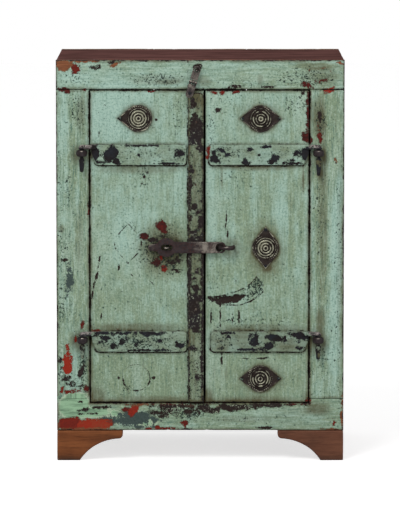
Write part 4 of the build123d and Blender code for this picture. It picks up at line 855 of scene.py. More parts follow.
def gridLines(stops, step, corner):
    lines = set()
    for low, high in zip(stops, stops[1:]):
        count = max(1, round((high - low - 2 * corner) / step))
        lines.update((low, low + 0.35 * corner, high - 0.35 * corner, high))
        lines.update(np.linspace(low + corner, high - corner, count + 1).tolist())
    return np.array(sorted(lines))


def insideOf(u, v, outline):
    inside = np.zeros(np.broadcast(u, v).shape, bool)
    for (u0, v0), (u1, v1) in zip(outline, np.roll(outline, -1, 0)):
        if v0 != v1:
            inside ^= ((v0 > v) != (v1 > v)) & (u < (u1 - u0) * (v - v0) / (v1 - v0) + u0)
    return inside


def edgeOf(u, v, outline):  # distance to the outline and the way inwards from it
    nearest, inward = np.full(len(u), 1e9), np.zeros((len(u), 2))
    turn = 1 if sum(a[0] * b[1] - a[1] * b[0] for a, b in zip(outline, np.roll(outline, -1, 0))) > 0 else -1
    for start, stop in zip(outline, np.roll(outline, -1, 0)):
        run = stop - start
        share = np.clip(((u - start[0]) * run[0] + (v - start[1]) * run[1]) / (run @ run), 0, 1)
        gap = np.hypot(u - start[0] - share * run[0], v - start[1] - share * run[1])
        closer = gap < nearest
        nearest[closer] = gap[closer]
        inward[closer] = np.array([-run[1], run[0]]) / np.hypot(*run) * turn
    return nearest, inward


def makeBoard(name, outline, face, back, way, material, step=1.6, corner=1.2, wander=0.25, seed=1, nicks=1.1):
    # returns the piece and, for each point, its rest place, depth from the face, edge distance and side
    outline = np.array(outline, float)
    thick = abs(back - face)
    uLines = gridLines(sorted(set(outline[:, 0])), step, corner)
    vLines = gridLines(sorted(set(outline[:, 1])), step, corner)
    midU, midV = (uLines[1:] + uLines[:-1]) / 2, (vLines[1:] + vLines[:-1]) / 2
    cells = np.zeros((len(uLines) + 1, len(vLines) + 1), bool)
    cells[1:-1, 1:-1] = insideOf(midU[:, None], midV[None, :], outline)
    used = cells[1:, 1:] | cells[:-1, 1:] | cells[1:, :-1] | cells[:-1, :-1]
    number = np.full(used.shape, -1)
    number[used] = np.arange(used.sum())
    count = used.sum()
    iu, iv = np.nonzero(used)
    u, v = uLines[iu], vLines[iv]
    edge, inward = edgeOf(u, v, outline)
    drop = corner - np.sqrt(np.maximum(0, corner ** 2 - np.maximum(0, corner - edge) ** 2))
    drop = np.where(edge < corner, drop, 0)
    faces = []
    for i, j in zip(*np.nonzero(cells[1:-1, 1:-1])):
        quad = [int(number[i, j]), int(number[i + 1, j]), int(number[i + 1, j + 1]), int(number[i, j + 1])]
        faces.append(quad)
        faces.append([count + n for n in reversed(quad)])
    rim = {}
    wallPoints = []
    rows = np.linspace(corner, thick - corner, max(2, round(thick / 4)))[1:-1]
    sides = np.concatenate([np.zeros(count), np.full(count, 2)])

    def chain(n):  # from the face's rim down the wall to the back's rim
        if n not in rim:
            first = 2 * count + len(wallPoints)
            wallPoints.extend((n, row) for row in rows)
            rim[n] = [n, *range(first, first + len(rows)), count + n]
        return rim[n]

    for i, j in zip(*np.nonzero(cells[1:, :] != cells[:-1, :])):  # walls across u
        if j > 0 and j < cells.shape[1] - 1:
            a, b = chain(int(number[i, j - 1])), chain(int(number[i, j]))
            faces.extend([a[k], b[k], b[k + 1], a[k + 1]] for k in range(len(a) - 1))
    for i, j in zip(*np.nonzero(cells[:, 1:] != cells[:, :-1])):
        if i > 0 and i < cells.shape[0] - 1:
            a, b = chain(int(number[i - 1, j])), chain(int(number[i, j]))
            faces.extend([a[k], b[k], b[k + 1], a[k + 1]] for k in range(len(a) - 1))
    wallIndex = np.array([n for n, row in wallPoints], int)
    wallDepth = np.array([row for n, row in wallPoints])
    u, v = np.concatenate([u, u, u[wallIndex]]), np.concatenate([v, v, v[wallIndex]])
    edge = np.concatenate([edge, edge, edge[wallIndex]])
    inward = np.concatenate([inward, inward, inward[wallIndex]])
    depth = np.concatenate([drop, thick - drop, wallDepth])
    sides = np.concatenate([sides, np.ones(len(wallIndex))])
    first, second, third = placings[way]
    rest = np.zeros((len(u), 3))
    rest[:, first], rest[:, second] = u, v
    rest[:, third] = face + np.sign(back - face) * depth
    # the outline wanders a little, always inwards
    bite = wander * (1 + ragged(rest, 45, seed)) * ease(edge, 9, 0)
    corners = ease(edge, 2.5, 0) * ease(np.minimum(depth, thick - depth), 4, 0)
    bite += nicks * ease(ragged(rest, 9, seed + 5), 0.35, 0.9) * corners
    moved = rest.copy()
    moved[:, first] += inward[:, 0] * bite
    moved[:, second] += inward[:, 1] * bite
    piece = makePiece(name, moved, faces, material)
    grid = dict(rest=rest, depth=depth, edge=edge, side=sides, thick=thick, axis=third,
                way=np.sign(back - face))
    return piece, grid


def sinkFaces(piece, grid, front, back=0.0):  # millimetres that each face goes in
    points = pointsOf(piece.data)
    inwards = np.where(grid["side"] == 0, front, np.where(grid["side"] == 2, -back, 0)) * grid["way"]
    points[:, grid["axis"]] += inwards
    movePoints(piece.data, points)


def grainRelief(rest, along, seed, strength):
    size = np.full(3, 5.0)
    size["XYZ".index(along)] = 70.0
    slow = 0.22 * (1 + ragged(rest, 70, seed, 2))
    return slow + strength * (1 + ragged(rest, size, seed + 3, 2))


paintedBoards = dict(
    film=0.32,  # how thick the coats of paint are
    pitch=1.55,  # grid step
    corner=1.3,
    wander=0.12, nicks=0.7,  # how far the outline strays, and how deep its nicks are
    rims=dict(topRail=0.45, bottomRail=0.45, stileLeft=0.35, stileRight=0.4, leftDoor=0.15, rightDoor=0.15,
              meetingStrip=0.7),
)


backOfBoard = {**wholeCoat, "bare": 9, "pits": 0.3, "olive": 0.5, "grime": 0.45}  # bare wood all over


def paintedBoard(name, node, outline, along, seed, extra=None):
    low, high = boxOf(node)
    material = paintStile if "stile" in node else paintUpright
    if along == "X":
        material = paintLevel
    if extra:
        material = paintStrip
    look = paintedBoards
    piece, grid = makeBoard(name, outline, low[1], high[1], "front", material, look["pitch"], look["corner"],
                            look["wander"], seed, look["nicks"])
    rest, depth, edge = grid["rest"], grid["depth"], grid["edge"]
    onFace, onBack = grid["side"] == 0, grid["side"] == 2
    wear = frontWear(rest, np.where(onFace, 0, depth), edge, look["rims"][name], extra)
    for key, value in backOfBoard.items():
        wear[key] = np.where(onBack, value, wear[key])
    gone = np.maximum.reduce([wear["dark"], wear["red"], wear["bare"]])
    sunk = grainRelief(rest, along, seed, 0.07)
    sunk += look["film"] * ease(gone, -2, 2)
    sunk += wear["gouge"]
    sunk = np.maximum(sunk, 0)
    beside, above = rest[:, 0] - paintedOver["x"], rest[:, 2] - paintedOver["z"]
    filled = ease(np.abs(beside), 26, 21) * ease(np.abs(above), 4.5, 2.5)
    sunk = np.where(onFace, sunk - depth * filled, sunk)
    sinkFaces(piece, grid, sunk, grainRelief(rest, along, seed + 9, 0.12))
    storeWear(piece.data, wear)
    settle(piece, "painted_wood", node)
    return piece


def rectangle(low, high, first=0, second=2):
    return [(low[first], low[second]), (high[first], low[second]),
            (high[first], high[second]), (low[first], high[second])]


topLow = boxOf("top_rail")[0]
bottomLow, bottomHigh = boxOf("bottom_rail")
frontGaps = dict(
    door=1.2,  # from a door to its stile
    sill=6.0,  # how deep the bottom rail is notched under the doors
    joint=0.15,  # half of the line that shows between a stile and a rail
    clip=4.0, clipRun=12,  # what is cut off the meeting strip's top corner
)
openingLeft = boxOf("left_door_board")[0][0] - frontGaps["door"]
openingRight = boxOf("right_door_board")[1][0] + frontGaps["door"]
sillTop = bottomHigh[2] - frontGaps["sill"]
stileFoot, stileHead = bottomHigh[2] + frontGaps["joint"] / 3, topLow[2] - frontGaps["joint"]

paintedBoard("topRail", "top_rail", rectangle(*boxOf("top_rail")), "X", 11)
notched = [(bottomLow[0], bottomLow[2]), (bottomHigh[0], bottomLow[2]), (bottomHigh[0], bottomHigh[2]),
           (openingRight, bottomHigh[2]), (openingRight, sillTop), (openingLeft, sillTop),
           (openingLeft, bottomHigh[2]), (bottomLow[0], bottomHigh[2])]
paintedBoard("bottomRail", "bottom_rail", notched, "X", 12)
leftStile = rectangle((bottomLow[0], stileFoot), (openingLeft, stileHead), 0, 1)  # shown without tenons
rightStile = rectangle((openingRight, stileFoot), (bottomHigh[0], stileHead), 0, 1)
paintedBoard("stileLeft", "stile_left", leftStile, "Z", 13)
paintedBoard("stileRight", "stile_right", rightStile, "Z", 14)
paintedBoard("leftDoor", "left_door_board", rectangle(*boxOf("left_door_board")), "Z", 15)
paintedBoard("rightDoor", "right_door_board", rectangle(*boxOf("right_door_board")), "Z", 16)
stripHigh = boxOf("meeting_strip")[1]
strip = paintedBoard("meetingStrip", "meeting_strip", rectangle(*boxOf("meeting_strip")), "Z", 17, "strip")
points = pointsOf(strip.data)
inCorner = np.maximum(0, points[:, 0] - stripHigh[0] + frontGaps["clip"])
run = frontGaps["clipRun"]
points[:, 2] -= inCorner * np.clip((points[:, 2] - stripHigh[2] + run) / run, 0, 1)
movePoints(strip.data, points)
print("painted front ready")


# ironwork: softened copies of the plain shapes, hammered all over

def plainShell(node):  # a node's plain shape with its doubled points joined
    shell = bmesh.new()
    shell.from_mesh(frame["nodes"][node].data)
    bmesh.ops.remove_doubles(shell, verts=shell.verts, dist=0.01 * mm)
    return shell


def softened(name, node, material, voxel, passes):
    shell = plainShell(node)
    mesh = bpy.data.meshes.new(name)
    shell.to_mesh(mesh)
    shell.free()
    mesh.materials.append(material)
    piece = linked(name, mesh)
    remesh = piece.modifiers.new("remesh", "REMESH")
    remesh.mode, remesh.voxel_size, remesh.use_smooth_shade = "VOXEL", voxel * mm, True
    smooth = piece.modifiers.new("smooth", "SMOOTH")
    smooth.factor, smooth.iterations = 0.5, passes
    baked(piece)
    piece.data.materials.clear()
    piece.data.materials.append(material)
    piece.data.shade_smooth()
    return piece


def hammered(piece, size, depth, seed):
    points, normals = pointsOf(piece.data), normalsOf(piece.data)
    dents = 0.5 * (1 + ragged(points, size, seed, 2))
    points -= normals * (depth * dents)[:, None]
    movePoints(piece.data, points)
    return points, normals


strapLook = dict(voxel=0.75, passes=3, dent=0.3, dentSize=7.0)


def paintedStrap(side, level, seed):
    node = f"hinge_strap_{level}_{side}"
    piece = softened(f"strap_{level}_{side}", node, paintStrap, strapLook["voxel"], strapLook["passes"])
    points, normals = hammered(piece, strapLook["dentSize"], strapLook["dent"], seed)
    top = boxOf(node)[1][2]
    flat = np.abs(points[:, 0]) < strapSize["root"] + 2
    points[:, 0] -= np.sign(points[:, 0]) * heelCut(points, top) * flat
    dark = spotField(points, coatLoss["strap"], 900)[0]
    red, warm = spotField(points, coatLoss["red"], 300)
    # dark on the sides and underside: chipped edges, and painted shade along the lower edge
    turned = ease(-normals[:, 1], 0.95, 0.5)
    worn = -3.4 + 3.4 * turned + 1.6 * ease(-normals[:, 2], 0.2, 0.8) + 1.2 * ragged(points, 7, seed + 3)
    dark = np.maximum(dark, worn)
    red = np.maximum(red, -3 + 3 * ease(normals[:, 2], 0.35, 0.9) + ragged(points, 9, seed + 5))
    beyond = np.abs(points[:, 0]) - strapSize["root"]
    below = top - strapSize["height"] / 2 - points[:, 2]  # down along the pin's tail
    tail = 1.9 + 2.4 * ragged(points, 5, seed + 8) - 1.3 * ease(-normals[:, 1], 0.75, 1)
    neck = beyond * 0.5 + ragged(points, 6, seed + 4) * 1.5
    dark = np.maximum(dark, np.where((beyond > 6) & (below > 2), tail, neck))
    # painted highlight along the necks' tops and the upper faces, partly rubbed metal
    rubbed = np.maximum(0.9 * ease(normals[:, 2], 0.2, 0.7), ease(top - points[:, 2], 5, 2.5))
    rubbed = rubbed + 0.5 * ragged(points, 4.5, seed + 9)
    wearAndHighlight = 0.75 * ease(normals[:, 2], 0.2, 0.65) * (0.6 + 0.7 * ragged(points, 9, seed + 10))
    rubbed = np.clip(np.where((beyond > -2) & (below < 4), rubbed, wearAndHighlight), 0, 1.1)
    pits = 0.2 + 0.7 * softField(points, softStains["pits"])
    # the lower straps are darker, the lower right one most
    grime = softField(points, softStains["grime"]) * 0.5 + (0.34 if level == "lower" else 0.22)
    grime = grime + 0.15 * ragged(points, 16, seed + 7) + 0.5 * (beyond > 6)
    grime = grime + (0.22 if (side, level) == ("right", "lower") else 0)
    olive = 0.55 + 0.3 * ragged(points, 24, seed + 6)
    wear = {**wholeCoat, "dark": dark, "red": red, "warm": warm, "grime": np.clip(grime, 0, 1),
            "olive": olive, "pits": pits, "rubbed": rubbed}
    points -= normals * (0.25 * ease(dark, -0.4, 0.4))[:, None]
    movePoints(piece.data, points)
    storeWear(piece.data, wear)
    return settle(piece, "painted_iron", node)


def ironPiece(name, node, voxel=0.7, passes=2, dent=0.25, size=4.0, rubAndHighlight=0.3, brown=0.6, seed=1, glint=0.4,
              khaki=None):
    piece = softened(name, node, forgedIron, voxel, passes)
    points, normals = hammered(piece, size, dent, seed)
    # painted highlight: lighter where a face turns toward the key lamp and camera, a glint where it faces
    # them squarely, partly rubbed metal
    facing = -0.84 * normals[:, 1] + 0.54 * normals[:, 2]
    wearAndHighlight = rubAndHighlight * ease(facing, 0.2, 0.9) + glint * ease(facing, 0.93, 0.995)
    wearAndHighlight = wearAndHighlight + 0.3 * ragged(points, 7, seed + 1)
    if khaki:
        wearAndHighlight = wearAndHighlight + khaki(points)
    store(piece.data, "iron", wearAndHighlight, brown * (0.6 + 0.5 * ragged(points, 12, seed + 2)))
    return settle(piece, "forged_iron", node)


for number, (side, level) in enumerate(hingePlaces):
    paintedStrap(side, level, 200 + 10 * number)
    ironPiece(f"eye_{level}_{side}", f"hinge_eye_{level}_{side}", passes=9, dent=0.6, size=4.5, rubAndHighlight=0.02,
              brown=0.35, glint=1.0, seed=300 + number)

haspLook = dict(
    middle=-8.0,  # where the thin dust on the strap begins
    dust=0.52, tipDust=0.35,
    swelling=0.45, longer=1.2,  # of the staple's free end, from rust
)


def haspDust(points):
    onStrap = ease(points[:, 0], haspLook["middle"] - 9, haspLook["middle"] + 12) * ease(points[:, 0], 34, 27)
    return haspLook["dust"] * onStrap + haspLook["tipDust"] * ease(points[:, 0], -61, -64) - 0.12


def stapleDust(points):
    return haspLook["tipDust"] * ease(points[:, 0], 42, 47)


ironPiece("hasp", "hasp", voxel=0.65, dent=0.45, size=6.0, rubAndHighlight=0.2, brown=1.0, glint=0.2, seed=321,
          khaki=haspDust)
haspStaple = ironPiece("haspStaple", "hasp_pivot_staple", voxel=0.5, rubAndHighlight=0.2, brown=1.3, glint=0.5, seed=331,
                       khaki=stapleDust)
points = pointsOf(haspStaple.data)
fromMiddle = points[:, 2] - ironPivot[1]
points[:, 2] += haspLook["swelling"] * fromMiddle * ease(points[:, 0], 33, 40)
points[:, 0] += haspLook["longer"] * ease(points[:, 0], 40, 46)
movePoints(haspStaple.data, points)
ironPiece("lockStaple", "lock_staple", voxel=0.45, rubAndHighlight=0.7, seed=341)
ironPiece("latchLeaf", "latch_leaf", voxel=0.45, rubAndHighlight=0.52, dent=0.4, seed=351)
ironPiece("latchStrap", "latch_strap", voxel=0.45, rubAndHighlight=0.52, dent=0.4, seed=361)
ironPiece("latchPin", "latch_pin", voxel=0.3, rubAndHighlight=0.8, dent=0.1, seed=371)
ironPiece("latchStaple", "latch_staple", voxel=0.35, rubAndHighlight=0.5, dent=0.1, seed=381)
print("ironwork ready")


# geometry node trees for what repeats

def startGeometry(name, **inputs):
    tree = bpy.data.node_groups.new(name, "GeometryNodeTree")
    tree.interface.new_socket(name="Geometry", in_out="INPUT", socket_type="NodeSocketGeometry")
    tree.interface.new_socket(name="Geometry", in_out="OUTPUT", socket_type="NodeSocketGeometry")
    for label, kind in inputs.items():
        tree.interface.new_socket(name=label, in_out="INPUT", socket_type="NodeSocket" + kind)
    return tree, add(tree, "NodeGroupInput").outputs


def endGeometry(tree, instances, material):
    real = add(tree, "GeometryNodeRealizeInstances", {"Geometry": instances})
    smooth = add(tree, "GeometryNodeSetShadeSmooth", {"Geometry": real.outputs[0]})
    dressed = add(tree, "GeometryNodeSetMaterial", {"Geometry": smooth.outputs[0], "Material": material})
    add(tree, "NodeGroupOutput", {"Geometry": dressed.outputs[0]})


def grow(piece, tree, **values):
    modifier = piece.modifiers.new(tree.name, "NODES")
    modifier.node_group = tree
    for item in tree.interface.items_tree:
        if item.in_out == "INPUT" and item.name in values:
            modifier[item.identifier] = values[item.name]
    return baked(piece)


def unevenSize(tree, seed, least, most):  # a random size for each copy
    uneven = add(tree, "FunctionNodeRandomValue", {"Seed": seed}, data_type="FLOAT")
    uneven.inputs[2].default_value, uneven.inputs[3].default_value = least, most
    return uneven.outputs[1]


def beadTree():
    tree, given = startGeometry("beadRing", ringRadius="Float", beadRadius="Float", beadCount="Int",
                                seed="Int", metal="Material")
    circle = {"Resolution": given["beadCount"], "Radius": given["ringRadius"]}
    ring = add(tree, "GeometryNodeCurvePrimitiveCircle", circle)
    bead = add(tree, "GeometryNodeMeshIcoSphere", {"Radius": given["beadRadius"], "Subdivisions": 2})
    uneven = unevenSize(tree, given["seed"], 0.65, 1.15)
    placed = add(tree, "GeometryNodeInstanceOnPoints",
                 {"Points": ring.outputs["Curve"], "Instance": bead.outputs["Mesh"], "Scale": uneven})
    endGeometry(tree, placed.outputs[0], given["metal"])
    return tree


nailLook = dict(  # headed: radius and height of a head
    headed=dict(back=(2.6, 0.75), door=(2.4, 0.7), strip=(1.7, 0.5)),
    tallest=1.2,  # room for the tallest head, times its height
    shankRadius=0.9, shankLength=11.0, point=0.3,
)


def nailTree():
    tree, given = startGeometry("nails", headRadius="Float", headHeight="Float", shankRadius="Float",
                                shankLength="Float", seed="Int", metal="Material")
    ball = add(tree, "GeometryNodeMeshIcoSphere", {"Radius": 1.0, "Subdivisions": 2})
    shape = add(tree, "ShaderNodeCombineXYZ",
                {"X": given["headRadius"], "Y": given["headRadius"], "Z": given["headHeight"]})
    head = add(tree, "GeometryNodeTransform", {"Geometry": ball.outputs["Mesh"], "Scale": shape.outputs[0]})
    spike = add(tree, "GeometryNodeMeshCone",
                {"Vertices": 6, "Radius Top": given["shankRadius"], "Radius Bottom": nailLook["point"] * mm,
                 "Depth": given["shankLength"]})
    down = add(tree, "ShaderNodeMath", {0: given["shankLength"], 1: -1.0}, operation="MULTIPLY")
    drop = add(tree, "ShaderNodeCombineXYZ", {"Z": down.outputs[0]})
    shank = add(tree, "GeometryNodeTransform",
                {"Geometry": spike.outputs["Mesh"], "Translation": drop.outputs[0]})
    nail = add(tree, "GeometryNodeJoinGeometry")
    tree.links.new(head.outputs[0], nail.inputs[0])
    tree.links.new(shank.outputs[0], nail.inputs[0])
    turn = add(tree, "FunctionNodeRandomValue", {"Seed": given["seed"]}, data_type="FLOAT_VECTOR")
    turn.inputs[0].default_value, turn.inputs[1].default_value = (-0.12, -0.12, 0), (0.12, 0.12, 6.28)
    uneven = unevenSize(tree, given["seed"], 0.85, 1.1)
    placed = add(tree, "GeometryNodeInstanceOnPoints",
                 {"Points": given["Geometry"], "Instance": nail.outputs[0],
                  "Rotation": turn.outputs[0], "Scale": uneven})
    endGeometry(tree, placed.outputs[0], given["metal"])
    return tree


beads, nails = beadTree(), nailTree()


# rosettes: a plate drawn out to points, a ringed boss and a row of beads between them

def latheRows(rows, spokes):  # faces between rings of points, closed at both ends by one point each
    faces = []
    last = 1 + len(rows) * spokes
    for k in range(spokes):
        n = (k + 1) % spokes
        faces.append([0, 1 + k, 1 + n])
        for row in range(len(rows) - 1):
            a, b = 1 + row * spokes, 1 + (row + 1) * spokes
            faces.append([a + k, b + k, b + n, a + n])
        a = 1 + (len(rows) - 1) * spokes
        faces.append([a + n, a + k, last])
    return faces


def ringAt(radius, angle, high):
    return np.column_stack([radius * np.cos(angle), radius * np.sin(angle), angle * 0 + high])


def rosette(key, x, z, turn, tips, rubbed, seed):
    look = rosetteLook
    face = boxOf(f"rosette_plate_{key}")[1][1]
    body = bodyOf[f"rosette_plate_{key}"]
    angle = np.linspace(0, 2 * math.pi, look["spokes"], endpoint=False)
    outline = eyeRadius(angle, look["radius"], [(tip, look["tip"]) for tip in tips])
    outline = outline + 0.35 * ragged(ringAt(outline, angle, 0), 5, seed)
    # how far in from the outline, and how high
    rows = [(0.0, 0.0), (0.0, 0.9), (0.35, 1.4), (0.9, look["rim"]),
            (1.5, 1.35), (2.0, look["field"]), (3.2, look["field"])]
    flat = [ringAt(outline - inset, angle, high) for inset, high in rows]
    flat += [ringAt(radius, angle, look["field"]) for radius in look["fieldRings"]]
    points = np.vstack([[(0, 0, 0)], *flat, [(0, 0, look["field"])]])
    plate = makePiece(f"rosettePlate_{key}", points, latheRows(flat, look["spokes"]), rosetteIron)
    # lighter on the raised rim: rubbed dust and painted highlight
    crestWearAndHighlight = -0.2 + 0.6 * rubbed + 0.6 * ease(points[:, 2], 1.1, 1.45) + 0.55 * ragged(points, 6, seed + 1)
    store(plate.data, "iron", crestWearAndHighlight, 0.5)

    widest = look["bossRadius"]
    radii = np.concatenate([[widest, widest], np.linspace(widest - 0.2, 0.35, 46)])
    share = radii / widest
    crown = 1.9 + (look["bossHeight"] - 2.6) * (1 - share ** 1.7)
    ripple = (0.5 - 0.5 * np.cos(2 * math.pi * look["rings"] * (share - 0.06))) ** 0.7
    height = crown + look["ringHeight"] * 2 * (ripple - 0.5)
    height[:2] = 0.0, 1.2
    angle = np.linspace(0, 2 * math.pi, look["bossSpokes"], endpoint=False)
    flat = [ringAt(radius, angle, high) for radius, high in zip(radii, height)]
    points = np.vstack([[(0, 0, 0)], *flat, [(0, 0, look["bossHeight"] - 0.1)]])
    points[:, 2] -= 0.16 * (1 + ragged(points, 3.5, seed + 2)) * ease(points[:, 2], 0.5, 1.5)
    boss = makePiece(f"rosetteBoss_{key}", points, latheRows(flat, look["bossSpokes"]), rosetteIron)
    # lighter on the raised rings, the outer ones dimmer: rubbed dust and painted highlight
    crestWearAndHighlight = np.concatenate([[0], np.repeat(ripple, look["bossSpokes"]), [1]])
    outwards = np.concatenate([[0], np.repeat(share, look["bossSpokes"]), [0]])
    crestWearAndHighlight = (1.2 - 0.45 * outwards) * crestWearAndHighlight - 0.18 + rubbed + 0.9 * ragged(points, 5, seed + 3)
    store(boss.data, "iron", crestWearAndHighlight, 0.5)

    bpy.ops.mesh.primitive_plane_add(size=0.001)
    ring = bpy.context.object
    ring.name = f"rosetteBeads_{key}"
    grow(ring, beads, ringRadius=look["beadRing"] * mm, beadRadius=look["beadRadius"] * mm,
         beadCount=look["beads"], seed=seed, metal=rosetteIron)
    ringPoints = pointsOf(ring.data)
    ringPoints[:, 2] = look["field"] + np.maximum(ringPoints[:, 2], -0.3)
    movePoints(ring.data, ringPoints)
    # beads lighter, partly painted highlight
    store(ring.data, "iron", 0.45 + 0.6 * ragged(ringPoints, 8, seed + 4), 0.4)
    upright = Matrix.Translation(Vector((x, face, z)) * mm) @ Matrix.Rotation(math.pi / 2, 4, "X")
    upright = upright @ Matrix.Rotation(math.radians(turn), 4, "Z")
    for piece in (plate, boss, ring):
        piece.data.transform(upright)
    settle(plate, "rosette_iron", f"rosette_plate_{key}")
    settle(boss, "rosette_iron", f"rosette_boss_{key}")
    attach(ring, body)


for number, (key, turn, tips, rubbed) in enumerate(rosettePlaces):
    low, high = boxOf(f"rosette_boss_{key}")
    rosette(key, (low[0] + high[0]) / 2, (low[2] + high[2]) / 2, turn, tips, rubbed, 400 + 20 * number)
print("rosettes ready")


# nails, each where its plain one is driven

def loosePlaces(node):  # middle of each separate nail in a node
    shell = plainShell(node)
    left, places = set(shell.verts), []
    while left:
        group, queue = [], [min(left, key=lambda vertex: vertex.index)]
        left.discard(queue[0])
        while queue:
            vertex = queue.pop()
            group.append(np.array(vertex.co) / mm)
            for line in vertex.link_edges:
                other = line.other_vert(vertex)
                if other in left:
                    left.discard(other)
                    queue.append(other)
        places.append((np.min(group, 0), np.max(group, 0)))
    shell.free()
    return places


def nailSet(name, node, backwards, material, kind, seed):
    headRadius, headHeight = nailLook["headed"][kind]
    proud = nailLook["tallest"] * headHeight
    spots = []
    for low, high in loosePlaces(node):
        x, z = (low + high)[[0, 2]] / 2
        spots.append((x, -z, high[1] - proud) if backwards else (x, z, -(low[1] + proud)))
    mesh = bpy.data.meshes.new(name)
    mesh.from_pydata((np.array(spots) * mm).tolist(), [], [])
    piece = linked(name, mesh)
    grow(piece, nails, headRadius=headRadius * mm, headHeight=headHeight * mm,
         shankRadius=nailLook["shankRadius"] * mm, shankLength=nailLook["shankLength"] * mm,
         seed=seed, metal=material)
    piece.data.transform(Matrix.Rotation((-1 if backwards else 1) * math.pi / 2, 4, "X"))
    points = pointsOf(piece.data)
    store(piece.data, "iron", 0.3 + 0.4 * ragged(points, 6, seed), 0.7)
    dark = 1.5 * ragged(points, 4, seed + 1) + 0.6
    storeWear(piece.data, {**wholeCoat, "dark": dark, "warm": 0, "grime": 0.5, "olive": 0.4, "pits": 0.8})
    return settle(piece, "nail_iron", node)


nailSet("backNails", "back_nails", True, nailIron, "back", 501)
nailSet("leftDoorNails", "left_door_nails", False, paintStrap, "door", 502)
nailSet("rightDoorNails", "right_door_nails", False, paintStrap, "door", 503)
nailSet("stripPins", "strip_pins", False, nailIron, "strip", 504)
print("nails ready")


# carcass and feet

def woodBoard(name, node, way, along, material, slotName, seed, step=3.0, saw=0.12, wander=0.2):
    low, high = boxOf(node)
    first, second, third = placings[way]
    outline = rectangle(low, high, first, second)
    piece, grid = makeBoard(name, outline, low[third], high[third], way, material, step,
                            wander=wander, seed=seed)
    relief = grainRelief(grid["rest"], along, seed, saw)
    sinkFaces(piece, grid, relief, relief)
    edge = np.where(grid["side"] == 1, np.minimum(grid["depth"], grid["thick"] - grid["depth"]), grid["edge"])
    store(piece.data, "wood", ease(edge, 5, 0) * (0.6 + 0.5 * ragged(grid["rest"], 16, seed + 1)),
          0.3 * ease(ragged(grid["rest"], 50, seed + 2), 0, 1))
    return settle(piece, slotName, node)


woodBoard("topBoard", "top_board", "top", "X", topWood, "stained_wood", 601)
woodBoard("sideLeft", "side_board_left", "side", "Z", sideWood, "stained_wood", 602)
woodBoard("sideRight", "side_board_right", "side", "Z", sideWood, "stained_wood", 603)
for number in (1, 2, 3):
    woodBoard(f"backPlank{number}", f"back_plank_{number}", "front", "Z", innerUpright, "inner_wood",
              610 + number, saw=0.25, wander=0.3)
woodBoard("shelf", "shelf", "top", "X", innerLevel, "inner_wood", 621, step=4)
woodBoard("floorBoard", "floor_board", "top", "X", innerLevel, "inner_wood", 622, step=4)
for side in ("left", "right"):
    woodBoard(f"cleat_{side}", f"shelf_cleat_{side}", "side", "Y", innerDeep, "inner_wood", 630, step=4)
    for end in ("front", "back"):
        node = f"foot_block_{end}_{side}"
        woodBoard(f"block_{end}_{side}", node, "top", "Z", innerUpright, "inner_wood", 640, step=4)


def carvedFoot(node, material, seed):
    piece = softened(node + "_carved", node, material, 1.2, 2)
    points, normals = hammered(piece, 22, 0.35, seed)
    low, high = boxOf(node)
    edge = np.sort(np.minimum(points - low, high - points), axis=1)[:, 1]
    # darker towards the floor
    store(piece.data, "wood", ease(edge, 4, 0) * (0.5 + 0.6 * ragged(points, 14, seed + 1)),
          0.8 * ease(points[:, 2], 12, 0) + 0.35 * ease(ragged(points, 30, seed + 2), 0, 1))
    return settle(piece, "foot_wood", node)


for number, end in enumerate(("front", "back", "side_front", "side_back")):
    for side in ("left", "right"):
        along = "X" if end in ("front", "back") else "Y"
        carvedFoot(f"foot_{end}_{side}", footWood[side, along], 700 + 2 * number)
print("carcass ready")


# floor, light and camera

stageLook = dict(
    floor=(0.6, 0.6, 0.6),
    world=0.42, glow=0.68,  # light from all round, and how white the floor looks
    lamps=dict(  # where it stands and what it is aimed at in metres, its power and its size
        key=((-1.1, -2.3, 2.6), (0, 0, 0.35), 62, 1.3),
        fill=((1.9, -2.4, 1.1), (0, 0, 0.3), 20, 1.6),
    ),
)


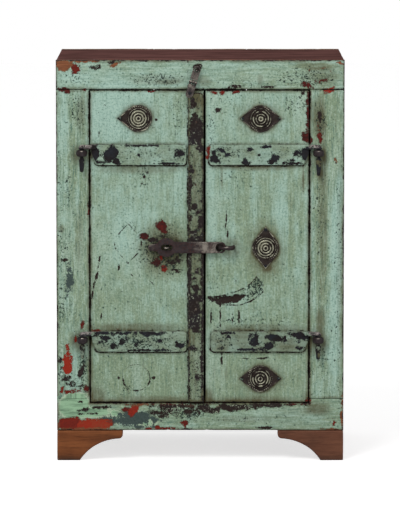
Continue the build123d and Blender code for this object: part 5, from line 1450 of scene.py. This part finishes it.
def lookedAt(tree):  # the background is white to the camera and in what shines, not as a light
    rays = add(tree, "ShaderNodeLightPath").outputs
    seen = calc(tree, "MAXIMUM", rays["Is Camera Ray"], rays["Is Glossy Ray"])
    return calc(tree, "MAXIMUM", seen, rays["Is Transmission Ray"])


def makeFloor():
    bpy.ops.mesh.primitive_plane_add(size=16)
    floor = bpy.context.object
    floor.name = "floor"
    material, tree, surface = startMaterial("floorPaper")
    surface.inputs["Base Color"].default_value = (*stageLook["floor"], 1)
    surface.inputs["Roughness"].default_value = 0.9
    surface.inputs["Emission Color"].default_value = (1, 1, 1, 1)
    glow = calc(tree, "MULTIPLY", lookedAt(tree), stageLook["glow"])
    tree.links.new(glow, surface.inputs["Emission Strength"])
    floor.data.materials.append(material)


def makeWorld():
    world = bpy.data.worlds.new("studio")
    bpy.context.scene.world = world
    world.use_nodes = True
    tree = world.node_tree
    tree.nodes.clear()
    strength = ramp(tree, lookedAt(tree), 0, 1, stageLook["world"], 1.0)
    light = add(tree, "ShaderNodeBackground", {"Color": (1, 1, 1, 1), "Strength": strength})
    add(tree, "ShaderNodeOutputWorld", {"Surface": light.outputs[0]})


def makeLamp(name, place, aim, power, size):
    lamp = bpy.data.lights.new(name, "AREA")
    lamp.energy, lamp.size = power, size
    holder = linked(name, lamp)
    holder.location = place
    holder.rotation_euler = (Vector(aim) - Vector(place)).to_track_quat("-Z", "Y").to_euler()


cameraLook = dict(distance=5730, rise=6.6, aimX=-0.3, aimZ=287.0, lens=289.3, sensor=36, farthest=50)


def makeCamera():
    camera = bpy.data.cameras.new("camera")
    camera.lens, camera.sensor_width = cameraLook["lens"], cameraLook["sensor"]
    camera.clip_end = cameraLook["farthest"]
    holder = linked("camera", camera)
    aim = Vector((cameraLook["aimX"], topLow[1], cameraLook["aimZ"])) * mm
    rise = math.radians(cameraLook["rise"])
    back = Vector((0, -math.cos(rise), math.sin(rise)))
    holder.location = aim + back * cameraLook["distance"] * mm
    holder.rotation_euler = (-back).to_track_quat("-Z", "Y").to_euler()
    bpy.context.scene.camera = holder


makeFloor()
makeWorld()
for name, lamp in stageLook["lamps"].items():
    makeLamp(name, *lamp)
makeCamera()
bpy.context.scene.view_settings.view_transform = "Standard"
print("stage ready")
